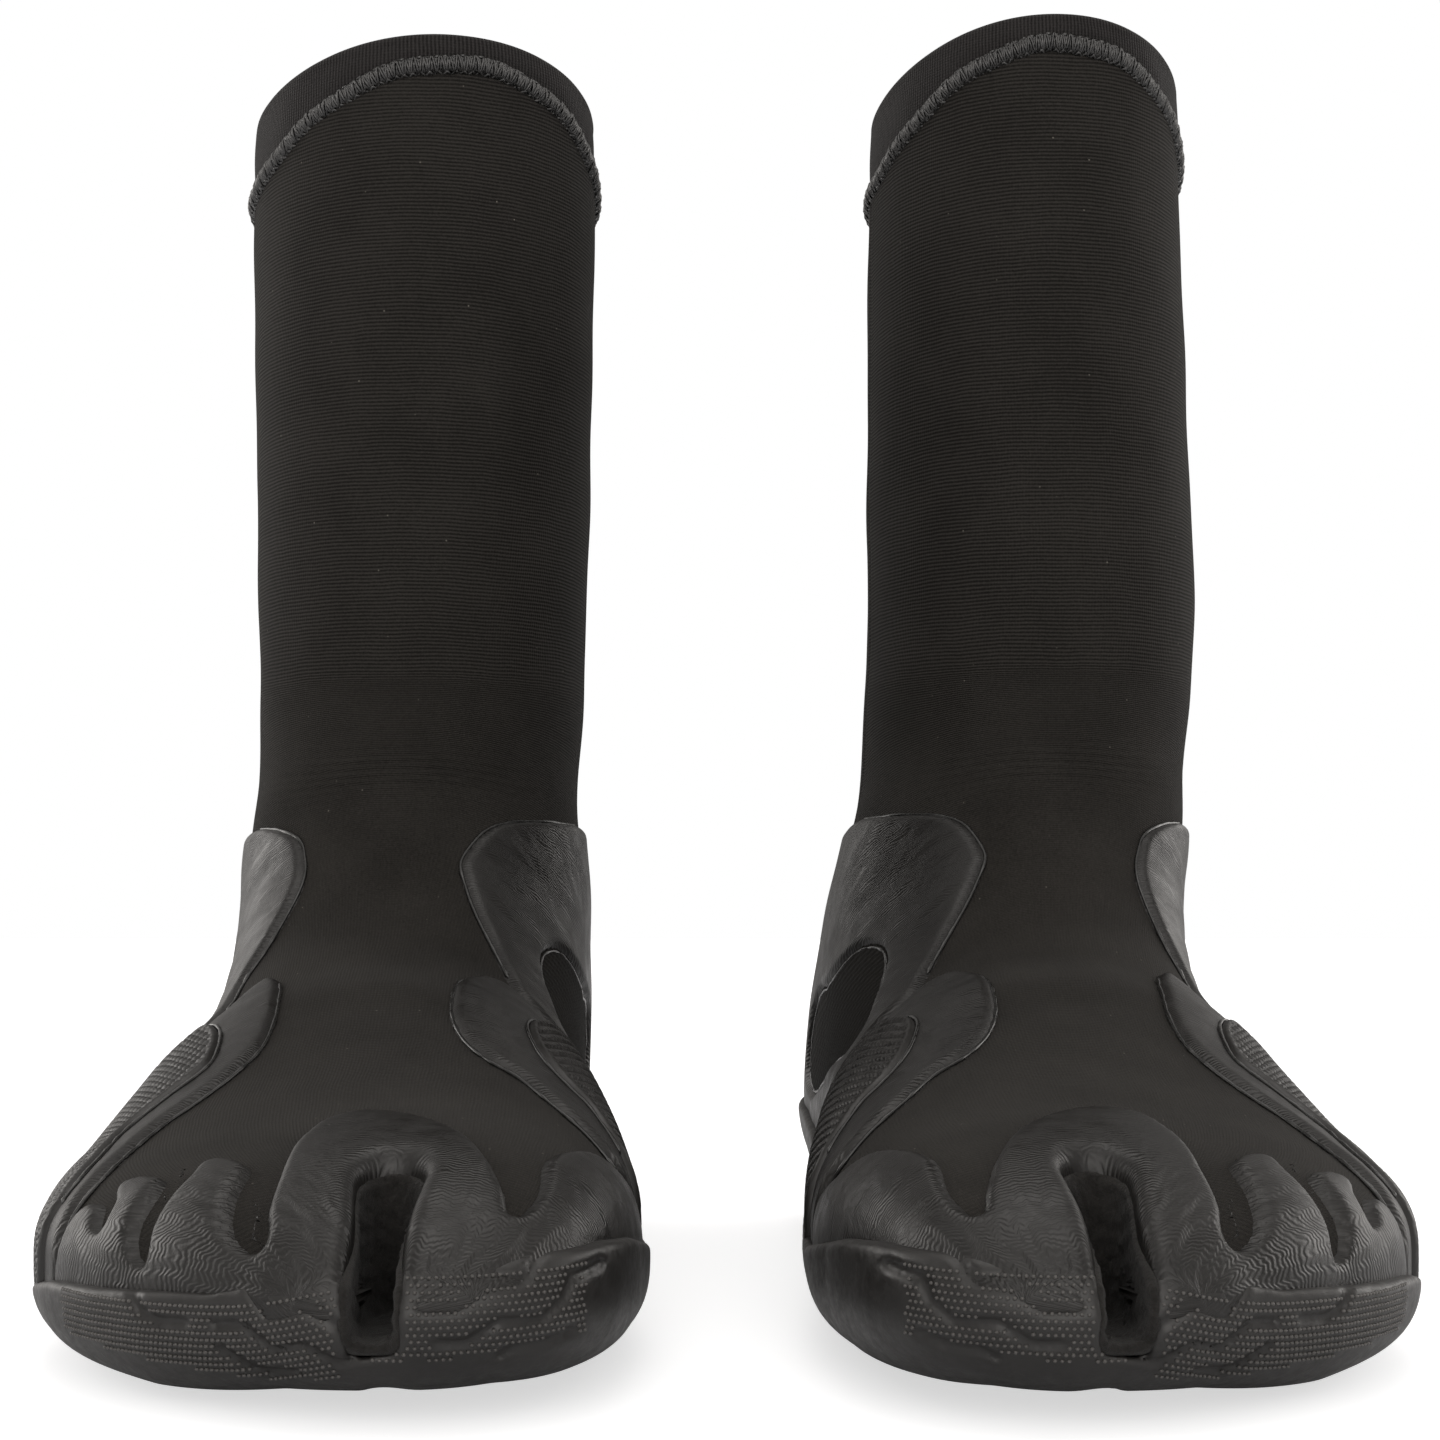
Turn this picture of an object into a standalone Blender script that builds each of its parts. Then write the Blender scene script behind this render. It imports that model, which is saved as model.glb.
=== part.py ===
"""A pair of split-toe neoprene surf boots, each built up as it is sewn and glued: a neoprene sock of three
panels with a bonded lining, a collar band on an overlock seam, moulded rubber skins over heel, midfoot and
toes, a lined slot beside the big toe, a cupped outsole and a loose footbed.

Lengths are in millimetres and become metres when a mesh is made. In a boot's own frame x runs towards the
inner side of the foot, y towards the heel and z up, with the ground at z = 0 and the leg's axis at y = 0.

A place on the boot is given by two numbers. `place` is how far along the boot a cross-section lies, down the
leg, round the ankle and out to the toes. `turn` is how far round that section: 0 at the front or top, 0.5
half way round the inner side, 1 at the back or bottom, and -0.5 or 1.5 half way round the outer side.
"""

import math

import bpy
import numpy as np
from mathutils import Vector
from mathutils.geometry import delaunay_2d_cdt

MM = 0.001
COLLECTION = "neoprene_boots"

# Where the two boots stand, and how each is posed on its last.
BOOT_SPACING = 146.2
CENTRE_SHIFT = (1.12, 88.31)  # brings the middle of the pair's box over the origin
RIM_DROP = 6.5  # how much lower the collar is at its sides
BOOTS = {
    # side of +x, toe-out and turn of the collar in radians, inward shift of the foot, narrowing of the leg,
    # height factor
    "right": (1, 0.0, math.radians(17), 0.0, 0.0, 1.0),
    "left": (-1, math.radians(5), math.radians(1), 14.6, 0.10, 1.015),
}

# Layers, as distances outwards from the neoprene's outer face.
NEOPRENE = (0.0, -4.0)
LINING = (-4.4, -5.6)
TAPE = (-4.5, -5.3)
SKIN = (2.4, 1.1)
GRIP = (4.0, 3.0)
WINDOW = (1.4, 0.9)
OUTSOLE = (3.9, 1.3)
BEAD_RADIUS = 1.6
BEAD_DEPTH = -0.6
GAP = 0.3

# The last: a leg that turns through a quarter circle at the ankle.
PIVOT_Y = -95.0
PIVOT_Z = 130.0
FAN_RADIUS = 100.0
FAN_LENGTH = FAN_RADIUS * math.pi / 2
RIM_HEIGHT = 273.0
SEAM_SIDE = 247.0
SEAM_RISE = 19.0
SEAM_BACK_DROP = 4.0
TOE_ROUNDING = 62.0  # length over which the toe closes

# The slot between the big toe and the others, in plan.
SLOT_X = 20.0
SLOT_ROOT_Y = -206.0
SLOT_ROOT_RADIUS = 5.2
SLOT_FRONT_HALF = 3.8
SLOT_FLOOR = 13.0
SLOT_TOP = 70.0
SLOT_OPEN_Y = -245.0
GUSSET = 2.4

# The loose insole laid on the lining.
FOOTBED = (-6.1, -9.6)


def at_height(z):
    return PIVOT_Z - z


def at_angle(degrees):
    return FAN_RADIUS * math.radians(degrees)


def at_reach(y):
    return FAN_LENGTH + PIVOT_Y - y


# The lattice that every sheet is cut from: the places of its rings, and columns in half a girth.
COLUMNS = 10
GIRTH = 130.0  # half the girth, where outlines are laid out flat
RINGS = [at_height(z) for z in (215, 165, 130)]
RINGS += [at_angle(a) for a in (12, 22, 30, 36, 41, 47, 55, 66, 80)]
RINGS += [at_reach(y) for y in (-104, -124, -144, -162, -180, -196, -209, -219, -225, -227)]
HEEL_SPLIT = at_angle(59)
PANEL_GAP = 0.010  # the panels' gap along the sides, as a turn

# Each section of the last: place, then the distances of its front, back and widest line from the turning
# centre, half widths inner and outer, squareness front and back, and how much higher its inner side is.
STATIONS = np.array((
    (at_height(273), 45.0, 145.0, 95.0, 40.0, 40.0, 2.1, 2.1, 0.0),
    (at_height(230), 44.5, 145.0, 95.0, 40.5, 40.5, 2.1, 2.1, 0.0),
    (at_height(190), 46.0, 143.0, 95.0, 40.0, 40.0, 2.1, 2.1, 0.0),
    (at_height(150), 47.5, 141.0, 94.0, 39.0, 39.0, 2.1, 2.1, 0.0),
    (at_angle(0), 48.0, 140.5, 94.0, 38.5, 38.5, 2.1, 2.1, 0.0),
    (at_angle(15), 49.0, 146.0, 95.0, 37.0, 38.5, 2.1, 2.1, 0.0),
    (at_angle(28), 51.0, 166.5, 100.0, 38.5, 40.0, 2.1, 2.4, 0.0),
    (at_angle(36), 53.0, 181.0, 104.0, 38.5, 40.0, 2.1, 2.8, 0.0),
    (at_angle(41), 54.5, 187.0, 106.0, 38.5, 40.0, 2.1, 3.0, 0.0),
    (at_angle(46), 56.0, 174.5, 106.0, 38.5, 40.0, 2.1, 3.2, 0.0),
    (at_angle(55), 59.0, 154.5, 105.0, 39.0, 40.5, 2.1, 3.6, 0.0),
    (at_angle(66), 61.5, 138.5, 104.0, 41.0, 41.5, 2.1, 3.8, 0.0),
    (at_angle(78), 63.5, 129.3, 104.0, 44.0, 43.5, 2.1, 3.8, 0.0),
    (at_reach(-95), 66.0, 126.5, 105.0, 47.5, 45.5, 2.1, 3.8, 1.0),
    (at_reach(-112), 72.0, 126.5, 106.0, 50.5, 46.5, 2.1, 3.8, 2.0),
    (at_reach(-130), 78.0, 126.7, 108.0, 53.0, 47.0, 2.1, 3.8, 3.0),
    (at_reach(-148), 83.0, 126.8, 110.0, 55.0, 47.0, 2.15, 3.8, 4.0),
    (at_reach(-165), 86.5, 126.8, 111.0, 56.0, 44.5, 2.3, 3.8, 4.0),
    (at_reach(-182), 89.0, 126.5, 111.0, 55.0, 38.5, 2.5, 3.6, 4.0),
    (at_reach(-198), 92.0, 125.5, 110.0, 52.5, 27.5, 2.6, 3.2, 3.0),
    (at_reach(-210), 96.0, 124.0, 110.0, 49.0, 14.5, 2.6, 2.8, 2.0),
    (at_reach(-219), 101.0, 121.5, 110.0, 43.0, 1.5, 2.4, 2.4, 0.0),
    (at_reach(-225), 107.0, 117.0, 111.0, 34.5, -9.0, 2.0, 2.0, 0.0),
    (at_reach(-227), 112.0, 112.6, 112.3, 24.0, -19.0, 2.0, 2.0, 0.0),
))
TOE_END = at_reach(-227)

# Height of the outsole's top edge: place, inner side, outer side.
SOLE_EDGE = np.array((
    (at_angle(31), 33.0, 33.0),
    (at_angle(41), 30.0, 30.0),
    (at_angle(60), 26.0, 22.0),
    (at_reach(-95), 22.0, 14.0),
    (at_reach(-130), 18.0, 9.0),
    (at_reach(-150), 18.0, 9.5),
    (at_reach(-170), 21.0, 14.0),
    (at_reach(-190), 24.5, 17.5),
    (at_reach(-205), 26.0, 18.5),
    (at_reach(-219), 26.0, 20.0),
    (at_reach(-227), 25.0, 24.0),
))

COLOURS = {
    # base colour, roughness
    "neoprene": ((0.022, 0.020, 0.018), 0.75),
    "collar": ((0.035, 0.032, 0.034), 0.7),
    "thread": ((0.03, 0.03, 0.03), 0.4),
    "lining": ((0.05, 0.05, 0.05), 0.9),
    "rubber": ((0.075, 0.068, 0.062), 0.55),
    "grip": ((0.03, 0.028, 0.026), 0.5),
    "slot": ((0.01, 0.01, 0.01), 0.95),
    "sole": ((0.045, 0.04, 0.037), 0.55),
    "foam": ((0.06, 0.06, 0.065), 0.85),
}


def smooth_value(knots, values, places):
    """A curve through the stations that never swells between two of them."""
    steps = np.diff(knots)
    slopes = np.diff(values) / steps
    tangents = np.zeros(len(knots))
    tangents[0] = slopes[0]
    tangents[-1] = slopes[-1]
    for i in range(1, len(knots) - 1):
        if slopes[i - 1] * slopes[i] > 0:
            before = 2 * steps[i] + steps[i - 1]
            after = steps[i] + 2 * steps[i - 1]
            tangents[i] = (before + after) / (before / slopes[i - 1] + after / slopes[i])
    cell = np.clip(np.searchsorted(knots, places) - 1, 0, len(knots) - 2)
    width = steps[cell]
    f = (places - knots[cell]) / width
    start = (1 + 2 * f) * (1 - f) ** 2 * values[cell] + f * (1 - f) ** 2 * width * tangents[cell]
    end = f * f * (3 - 2 * f) * values[cell + 1] + f * f * (f - 1) * width * tangents[cell + 1]
    return start + end


def section_point(place, angle, depth=0.0):
    """The point at `angle` round the section, 0 at its front or top, on the layer `depth` outwards."""
    stop = at_reach(-223.0 - depth) if depth < 0 else TOE_END
    shrink = np.clip((TOE_END - place) / max(TOE_END - stop, 1e-6), 0, 1)
    shrink = np.where(place > stop, shrink, 1.0)
    shrink = np.where(place >= TOE_END - 1e-6, 0.0, shrink)
    place = np.minimum(place, stop)
    columns = [smooth_value(STATIONS[:, 0], STATIONS[:, k], place) for k in range(1, 9)]
    front, back, widest, inner, outer, n_front, n_back, tilt = columns
    c = np.cos(angle)
    s = np.sin(angle)
    power = 2 / np.where(c >= 0, n_front, n_back)
    along = np.sign(c) * np.abs(c) ** power
    across = np.sign(s) * np.abs(s) ** power
    rise = widest - front + depth + tilt * across
    fall = back - widest + depth
    radius = widest - np.where(c >= 0, rise, fall) * along * shrink
    x = (inner - outer) / 2 + ((inner + outer) / 2 + depth) * across * shrink
    bend = np.clip(place / FAN_RADIUS, 0, math.pi / 2)
    closing = np.clip((place - TOE_END + TOE_ROUNDING) / TOE_ROUNDING, 0, 1)
    y = PIVOT_Y - np.maximum(place - FAN_LENGTH, 0) + radius * np.cos(bend) - depth * closing**2
    z = PIVOT_Z - np.minimum(place, 0) - radius * np.sin(bend)
    return np.stack([x, y, z], -1)


def angle_of(place, turn):
    """The angle that lies `turn` of the way round the section, measured along its girth."""
    turn = (turn + 1) % 2 - 1
    angles = np.linspace(0, math.pi, 61)
    found = []
    for one_place, one_turn in zip(place, turn):
        side = 1 if one_turn >= 0 else -1
        near = min(one_place, TOE_END - 0.5)
        line = section_point(np.full(len(angles), near), side * angles)
        lengths = np.concatenate([[0], np.cumsum(np.linalg.norm(np.diff(line, axis=0), axis=1))])
        found.append(side * np.interp(abs(one_turn) * lengths[-1], lengths, angles))
    return np.array(found)


def on_layer(places, turns, depth):
    """Points of the layer `depth` outwards, one for each place and turn."""
    places = np.asarray(places, float).ravel()
    turns = np.asarray(turns, float).ravel()
    return section_point(places, angle_of(places, turns), depth)


def edge_turn(place, side, clearance=0.0):
    """How far round the outsole's top edge lies at this place, on the inner (1) or outer (-1) side."""
    height = smooth_value(SOLE_EDGE[:, 0], SOLE_EDGE[:, 1 if side > 0 else 2], np.array([place]))[0]
    turns = np.linspace(0, 1, 81)
    heights = on_layer(np.full(81, place), side * turns, 0.0)[:, 2]
    return float(np.interp(-(height + clearance), -heights, turns))


# --- placing and meshing -------------------------------------------------------------------------------


def eased(share):
    share = np.clip(share, 0, 1)
    return share * share * (3 - 2 * share)


def stand(points, boot):
    """Moves points from a boot's own frame to where it stands in the pair, in metres."""
    side, toe_out, collar_turn, inward, narrowing, tall = BOOTS[boot]
    x, y, z = np.asarray(points, float).T
    twist = collar_turn * np.clip((z - 140) / 120, 0, 1)
    x, y = x * np.cos(twist) - y * np.sin(twist), x * np.sin(twist) + y * np.cos(twist)
    x, y = x * math.cos(toe_out) + y * math.sin(toe_out), y * math.cos(toe_out) - x * math.sin(toe_out)
    x = x - narrowing * (x - 18) * eased((z - 120) / 130)
    x = x + inward * eased((150 - z) / 130)
    world = np.stack([side * (x - BOOT_SPACING / 2) + CENTRE_SHIFT[0], y + CENTRE_SHIFT[1], z * tall], -1)
    return world * MM


def material(slot):
    found = bpy.data.materials.get(slot)
    if found:
        return found
    colour, roughness = COLOURS[slot]
    made = bpy.data.materials.new(slot)
    made.use_nodes = True
    shader = made.node_tree.nodes["Principled BSDF"]
    shader.inputs["Base Color"].default_value = (*colour, 1)
    shader.inputs["Roughness"].default_value = roughness
    shader.inputs["Metallic"].default_value = 0.0
    return made


def collection(name):
    found = bpy.data.collections.get(name)
    if not found:
        found = bpy.data.collections.new(name)
        bpy.context.scene.collection.children.link(found)
    return found


def welded(points, faces):
    """Joins points that meet and drops the faces that this flattens."""
    _, first, index = np.unique(np.round(points, 4), axis=0, return_index=True, return_inverse=True)
    index = index.ravel()
    kept = []
    for face in faces:
        corners = []
        for corner in index[list(face)]:
            if corner not in corners:
                corners.append(int(corner))
        if len(corners) > 2:
            kept.append(corners)
    return first, kept


def open_edges(faces):
    edges = {(a, b) for face in faces for a, b in zip(face, face[1:] + face[:1])}
    return [(a, b) for a, b in edges if (b, a) not in edges]


def mesh_object(boot, name, points, faces, slot, group=COLLECTION):
    """Makes the named mesh of one boot. The left boot is mirrored, so its faces are turned round."""
    if BOOTS[boot][0] < 0:
        faces = [face[::-1] for face in faces]
    mesh = bpy.data.meshes.new(f"{boot}_{name}")
    mesh.from_pydata([tuple(p) for p in stand(points, boot)], [], [tuple(f) for f in faces])
    mesh.validate()
    mesh.shade_smooth()
    mesh.set_sharp_from_angle(angle=math.radians(45))
    mesh.materials.append(material(slot))
    made = bpy.data.objects.new(f"{boot}_{name}", mesh)
    collection(group).objects.link(made)
    return made


def slab(boot, name, outer, inner, faces, slot, ground=False):
    """A closed solid between two layers of one sheet. Faces run anticlockwise seen from outside."""
    first, faces = welded(outer, faces)
    used = sorted({corner for face in faces for corner in face})
    renumber = {old: new for new, old in enumerate(used)}
    faces = [[renumber[corner] for corner in face] for face in faces]
    first = first[used]
    outer = outer[first]
    inner = inner[first]
    if ground:
        outer[:, 2] = np.maximum(outer[:, 2], 0)
    count = len(outer)
    under = [[corner + count for corner in face[::-1]] for face in faces]
    rim = [[b, a, a + count, b + count] for a, b in open_edges(faces)]
    return mesh_object(boot, name, np.vstack([outer, inner]), faces + under + rim, slot)


def grid_faces(rows, columns):
    """Quads over a grid of points stored row by row, rows running down the leg and columns inwards."""
    faces = []
    for i in range(rows - 1):
        for j in range(columns - 1):
            a = i * columns + j
            faces.append([a, a + columns, a + columns + 1])
            faces.append([a, a + columns + 1, a + 1])
    return faces


def panel(boot, name, places, turns, layer, slot, ground=False):
    """A slab over a grid. places and turns are arrays of rows by columns."""
    rows, columns = places.shape
    outer = on_layer(places, turns, layer[0])
    inner = on_layer(places, turns, layer[1])
    return slab(boot, name, outer, inner, grid_faces(rows, columns), slot, ground)


def inside(outline, points):
    """Which points lie within a closed outline."""
    found = np.zeros(len(points), bool)
    for (x0, y0), (x1, y1) in zip(outline, np.roll(outline, -1, axis=0)):
        crosses = (y0 > points[:, 1]) != (y1 > points[:, 1])
        if y0 != y1:
            found ^= crosses & (points[:, 0] < x0 + (points[:, 1] - y0) * (x1 - x0) / (y1 - y0))
    return found


def patch(boot, name, outline, layer, slot, hole=None, ground=False):
    """A slab cut to an outline of (place, turn) points, with an optional hole.

    It is cut from the same lattice of rings and columns as the panels under it, so that its facets lie
    parallel to theirs."""
    rings = [np.array(outline) * (1, GIRTH)]
    if hole:
        rings.append(np.array(hole) * (1, GIRTH))
    points = list(np.vstack(rings))
    edges = []
    start = 0
    for ring in rings:
        count = len(ring)
        edges += [(start + i, start + (i + 1) % count) for i in range(count)]
        start += count
    low = rings[0].min(axis=0) - 1
    high = rings[0].max(axis=0) + 1
    lines = [((place, low[1]), (place, high[1])) for place in RINGS if low[0] < place < high[0]]
    columns = np.arange(-COLUMNS, 2 * COLUMNS + 1) * GIRTH / COLUMNS
    lines += [((low[0], turn), (high[0], turn)) for turn in columns if low[1] < turn < high[1]]
    for line in lines:
        edges.append((len(points), len(points) + 1))
        points += list(line)
    cut = delaunay_2d_cdt([Vector(p) for p in points], edges, [], 0, 1e-4)
    flat = np.array([tuple(p) for p in cut[0]])
    faces = [list(face) for face in cut[2]]
    middles = np.array([flat[face].mean(axis=0) for face in faces])
    wanted = inside(rings[0], middles)
    if hole:
        wanted &= ~inside(rings[1], middles)
    faces = [face for face, keep in zip(faces, wanted) if keep]
    places = np.minimum(flat[:, 0], TOE_END)
    turns = flat[:, 1] / GIRTH
    outer = on_layer(places, turns, layer[0])
    inner = on_layer(places, turns, layer[1])
    return slab(boot, name, outer, inner, faces, slot, ground)


def prism(boot, name, outline, bottom, top):
    """An upright cutter over a plan outline that runs anticlockwise."""
    count = len(outline)
    points = [(x, y, z) for z in (bottom, top) for x, y in outline]
    faces = [list(range(count))[::-1], [i + count for i in range(count)]]
    faces += [[i, (i + 1) % count, (i + 1) % count + count, i + count] for i in range(count)]
    made = mesh_object(boot, name, points, faces, "slot", "cutters")
    made.hide_render = True
    made.display_type = "WIRE"
    return made


def boolean(target, cutter, operation="DIFFERENCE"):
    modifier = target.modifiers.new(cutter.name, "BOOLEAN")
    modifier.operation = operation
    modifier.solver = "EXACT"
    modifier.object = cutter


# --- the pieces ----------------------------------------------------------------------------------------


def seam_height(turn):
    """Height of the overlock seam, which peaks at the front."""
    wave = np.cos(np.pi * turn)
    return SEAM_SIDE + np.where(wave > 0, SEAM_RISE, -SEAM_BACK_DROP) * wave**2


def rim_height(turn):
    """Height of the collar's top edge, lower at the sides."""
    return RIM_HEIGHT - RIM_DROP * np.sin(np.pi * turn) ** 2


def seam_rows(turns, below, places):
    """A grid whose first row follows the seam, `below` it, and whose other rows are plain sections."""
    top = at_height(seam_height(turns) - below)
    return np.vstack([top] + [np.full(len(turns), place) for place in places])


def rings_between(start, end):
    return [ring for ring in RINGS if start < ring < end]


def columns_between(start, end, step=1):
    """The lattice's columns from one turn to another."""
    return np.arange(round(start * COLUMNS), round(end * COLUMNS) + 1, step) / COLUMNS


def spread(places, turns):
    """A grid of places and one of turns, from a list of each."""
    return np.meshgrid(places, turns, indexing="ij")


def upper_front(boot):
    turns = columns_between(-0.5, 0.5)
    places = seam_rows(turns, 2.0, RINGS)
    return panel(boot, "upper_front", places, np.broadcast_to(turns, places.shape), NEOPRENE, "neoprene")


def back_columns():
    turns = columns_between(0.5, 1.5)
    turns[0] += PANEL_GAP
    turns[-1] -= PANEL_GAP
    return turns


def heel_panel(boot):
    turns = back_columns()
    places = seam_rows(turns, 2.0, rings_between(-math.inf, HEEL_SPLIT) + [HEEL_SPLIT - GAP])
    return panel(boot, "heel_panel", places, np.broadcast_to(turns, places.shape), NEOPRENE, "neoprene")


def foot_panel(boot):
    places, turns = spread([HEEL_SPLIT] + rings_between(HEEL_SPLIT, math.inf), back_columns())
    return panel(boot, "foot_panel", places, turns, NEOPRENE, "neoprene")


def lining_shaft(boot):
    turns = columns_between(-1, 1, 2)
    places = seam_rows(turns, 8.0, rings_between(-math.inf, HEEL_SPLIT) + [HEEL_SPLIT - GAP])
    return panel(boot, "lining_shaft", places, np.broadcast_to(turns, places.shape), LINING, "lining")


def lining_foot(boot):
    places, turns = spread([HEEL_SPLIT] + rings_between(HEEL_SPLIT, math.inf), columns_between(-1, 1, 2))
    return panel(boot, "lining_foot", places, turns, LINING, "lining")


def collar_band(boot):
    turns = columns_between(-1, 1)
    top = at_height(rim_height(turns))
    bottom = at_height(seam_height(turns) + 2.0)
    places = np.vstack([top, bottom])
    layer = (NEOPRENE[0], NEOPRENE[1] + 0.5)
    return panel(boot, "collar_band", places, np.broadcast_to(turns, places.shape), layer, "collar")


def collar_tape(boot):
    turns = columns_between(-1, 1)
    places = np.vstack([at_height(seam_height(turns) + 6.0), at_height(seam_height(turns) - 7.0)])
    return panel(boot, "collar_tape", places, np.broadcast_to(turns, places.shape), TAPE, "lining")


def collar_overlock(boot):
    """The seam bead, a ring with a round section."""
    turns = columns_between(-1, 1)[:-1]
    sides = 6
    heights = seam_height(turns)
    middle = on_layer(at_height(heights), turns, BEAD_DEPTH)
    out = on_layer(at_height(heights), turns, BEAD_DEPTH + 1.0) - middle
    points = []
    for centre, outwards in zip(middle, out):
        for k in range(sides):
            a = 2 * math.pi * k / sides
            points.append(centre + BEAD_RADIUS * (math.cos(a) * outwards + math.sin(a) * np.array((0, 0, 1))))
    faces = []
    count = len(turns)
    for i in range(count):
        for k in range(sides):
            a = i * sides + k
            b = i * sides + (k + 1) % sides
            c = (i + 1) % count * sides + (k + 1) % sides
            d = (i + 1) % count * sides + k
            faces.append([a, d, c, b])
    return mesh_object(boot, "collar_overlock", points, faces, "thread")


def rim_point(place, side, clearance=1.2):
    """A point just above the outsole's edge; on the outer side its turn is counted on past the back."""
    turn = edge_turn(place, side, clearance)
    return (place, turn if side > 0 else 2 - turn)


def window_outline():
    return [
        (at_angle(73), 0.363), (at_angle(64), 0.300), (at_angle(54), 0.268), (at_angle(47), 0.300),
        (at_angle(43), 0.375), (at_angle(38), 0.500), (at_angle(40), 0.575), (at_angle(46), 0.600),
        (at_angle(55), 0.515), (at_angle(64), 0.435),
    ]


def grown(outline, distance):
    """The outline moved outwards from its middle by about `distance` millimetres."""
    points = np.array(outline) * (1, GIRTH)
    away = points - points.mean(axis=0)
    points = points + away / np.linalg.norm(away, axis=1)[:, None] * distance
    return [tuple(p) for p in points / (1, GIRTH)]


def heel_wrap(boot):
    top = [
        (at_angle(22), 0.388), (at_angle(18), 0.60), (at_angle(14), 0.80), (at_angle(12.5), 1.0),
        (at_angle(14), 1.20), (at_angle(19), 1.42), (at_angle(24), 1.60), (at_angle(28), 1.74),
    ]
    outer_front = [
        (at_angle(32), 1.812), (at_angle(37), 1.865), (at_angle(42), 1.881), (at_angle(48), 1.871),
        (at_angle(54), 1.839), (at_angle(61), 1.792), (at_angle(67), 1.744), (at_angle(72), 1.66),
    ]
    sole_line = [rim_point(at_angle(a), -1) for a in (70, 55, 47, 41, 36)]
    sole_line += [(at_angle(32), 1.06), (at_angle(31.5), 1.0), (at_angle(32), 0.94)]
    sole_line += [rim_point(at_angle(a), 1) for a in (36, 41, 47, 55, 68)]
    inner_front = [
        (at_angle(71), 0.36), (at_angle(71), 0.218), (at_angle(64), 0.18), (at_angle(57), 0.142),
        (at_angle(51), 0.113), (at_angle(45), 0.094), (at_angle(39), 0.107), (at_angle(33), 0.151),
        (at_angle(27), 0.256),
    ]
    hole = window_outline()
    return patch(boot, "heel_wrap", top + outer_front + sole_line + inner_front, SKIN, "rubber", hole)


def window_fabric(boot):
    return patch(boot, "window_fabric", grown(window_outline(), -1.5), WINDOW, "neoprene")


def achilles_strip(boot):
    outline = [
        (at_angle(12.0), 0.86), (at_angle(6), 0.87), (at_height(129), 0.89), (at_height(131), 0.95),
        (at_height(132), 1.0), (at_height(131), 1.05), (at_height(129), 1.11), (at_angle(6), 1.13),
        (at_angle(12.0), 1.14), (at_angle(10.9), 1.07), (at_angle(10.6), 1.0), (at_angle(10.9), 0.93),
    ]
    return patch(boot, "achilles_strip", outline, SKIN, "rubber")


def wing_medial(boot):
    outline = [
        (at_angle(79), 0.283), (at_angle(77), 0.240), (at_angle(76), 0.206), (at_angle(79), 0.168),
        (at_angle(86), 0.140), (at_reach(-102), 0.130), (at_reach(-113), 0.134), (at_reach(-124), 0.157),
        (at_reach(-132), 0.197), (at_reach(-139), 0.248), (at_reach(-146), 0.305), (at_reach(-150), 0.36),
        (at_reach(-151), 0.42), rim_point(at_reach(-149), 1), rim_point(at_reach(-130), 1),
        rim_point(at_reach(-112), 1), rim_point(at_angle(86), 1), rim_point(at_angle(76), 1),
        (at_angle(76), 0.40), (at_angle(77.5), 0.33),
    ]
    return patch(boot, "midfoot_wing_medial", outline, SKIN, "rubber")


def grip_medial(boot):
    outline = [
        (at_angle(83), 0.285), (at_reach(-100), 0.250), (at_reach(-110), 0.247), (at_reach(-121), 0.268),
        (at_reach(-129), 0.307), (at_reach(-135), 0.360), (at_reach(-139), 0.415),
        rim_point(at_reach(-138), 1, 3.0), rim_point(at_reach(-120), 1, 3.0),
        rim_point(at_reach(-102), 1, 3.0),
        rim_point(at_angle(84), 1, 3.0), (at_angle(83), 0.36),
    ]
    return patch(boot, "midfoot_grip_medial", outline, GRIP, "grip")


def mirrored_turns(outline):
    """The outer side's turns are written as negative numbers and counted on past the back here."""
    return [(place, turn % 2) for place, turn in outline]


def wing_lateral(boot):
    front = [
        (at_angle(80), -0.166), (at_reach(-98), -0.146), (at_reach(-110), -0.142), (at_reach(-124), -0.150),
        (at_reach(-136), -0.181), (at_reach(-144), -0.214), (at_reach(-153), -0.260),
        (at_reach(-163), -0.305), (at_reach(-174), -0.346), (at_reach(-181), -0.394),
        (at_reach(-185), -0.448),
    ]
    bottom = [rim_point(at_reach(y), -1) for y in (-185, -172, -155, -138, -120, -104)]
    rear = [(at_reach(-99), -0.45), (at_reach(-98), -0.36), (at_reach(-97), -0.27), (at_angle(80), -0.20)]
    outline = mirrored_turns(front) + bottom + mirrored_turns(rear)
    return patch(boot, "midfoot_wing_lateral", outline, SKIN, "rubber")


def grip_lateral(boot):
    front = [
        (at_reach(-104), -0.238), (at_reach(-113), -0.222), (at_reach(-124), -0.218),
        (at_reach(-132), -0.240), (at_reach(-139), -0.276), (at_reach(-147), -0.322),
        (at_reach(-158), -0.352), (at_reach(-170), -0.390),
    ]
    bottom = [rim_point(at_reach(y), -1, 3.0) for y in (-172, -156, -138, -120, -108)]
    rear = [(at_reach(-105), -0.40), (at_reach(-103), -0.31)]
    outline = mirrored_turns(front) + bottom + mirrored_turns(rear)
    return patch(boot, "midfoot_grip_lateral", outline, GRIP, "grip")


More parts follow.
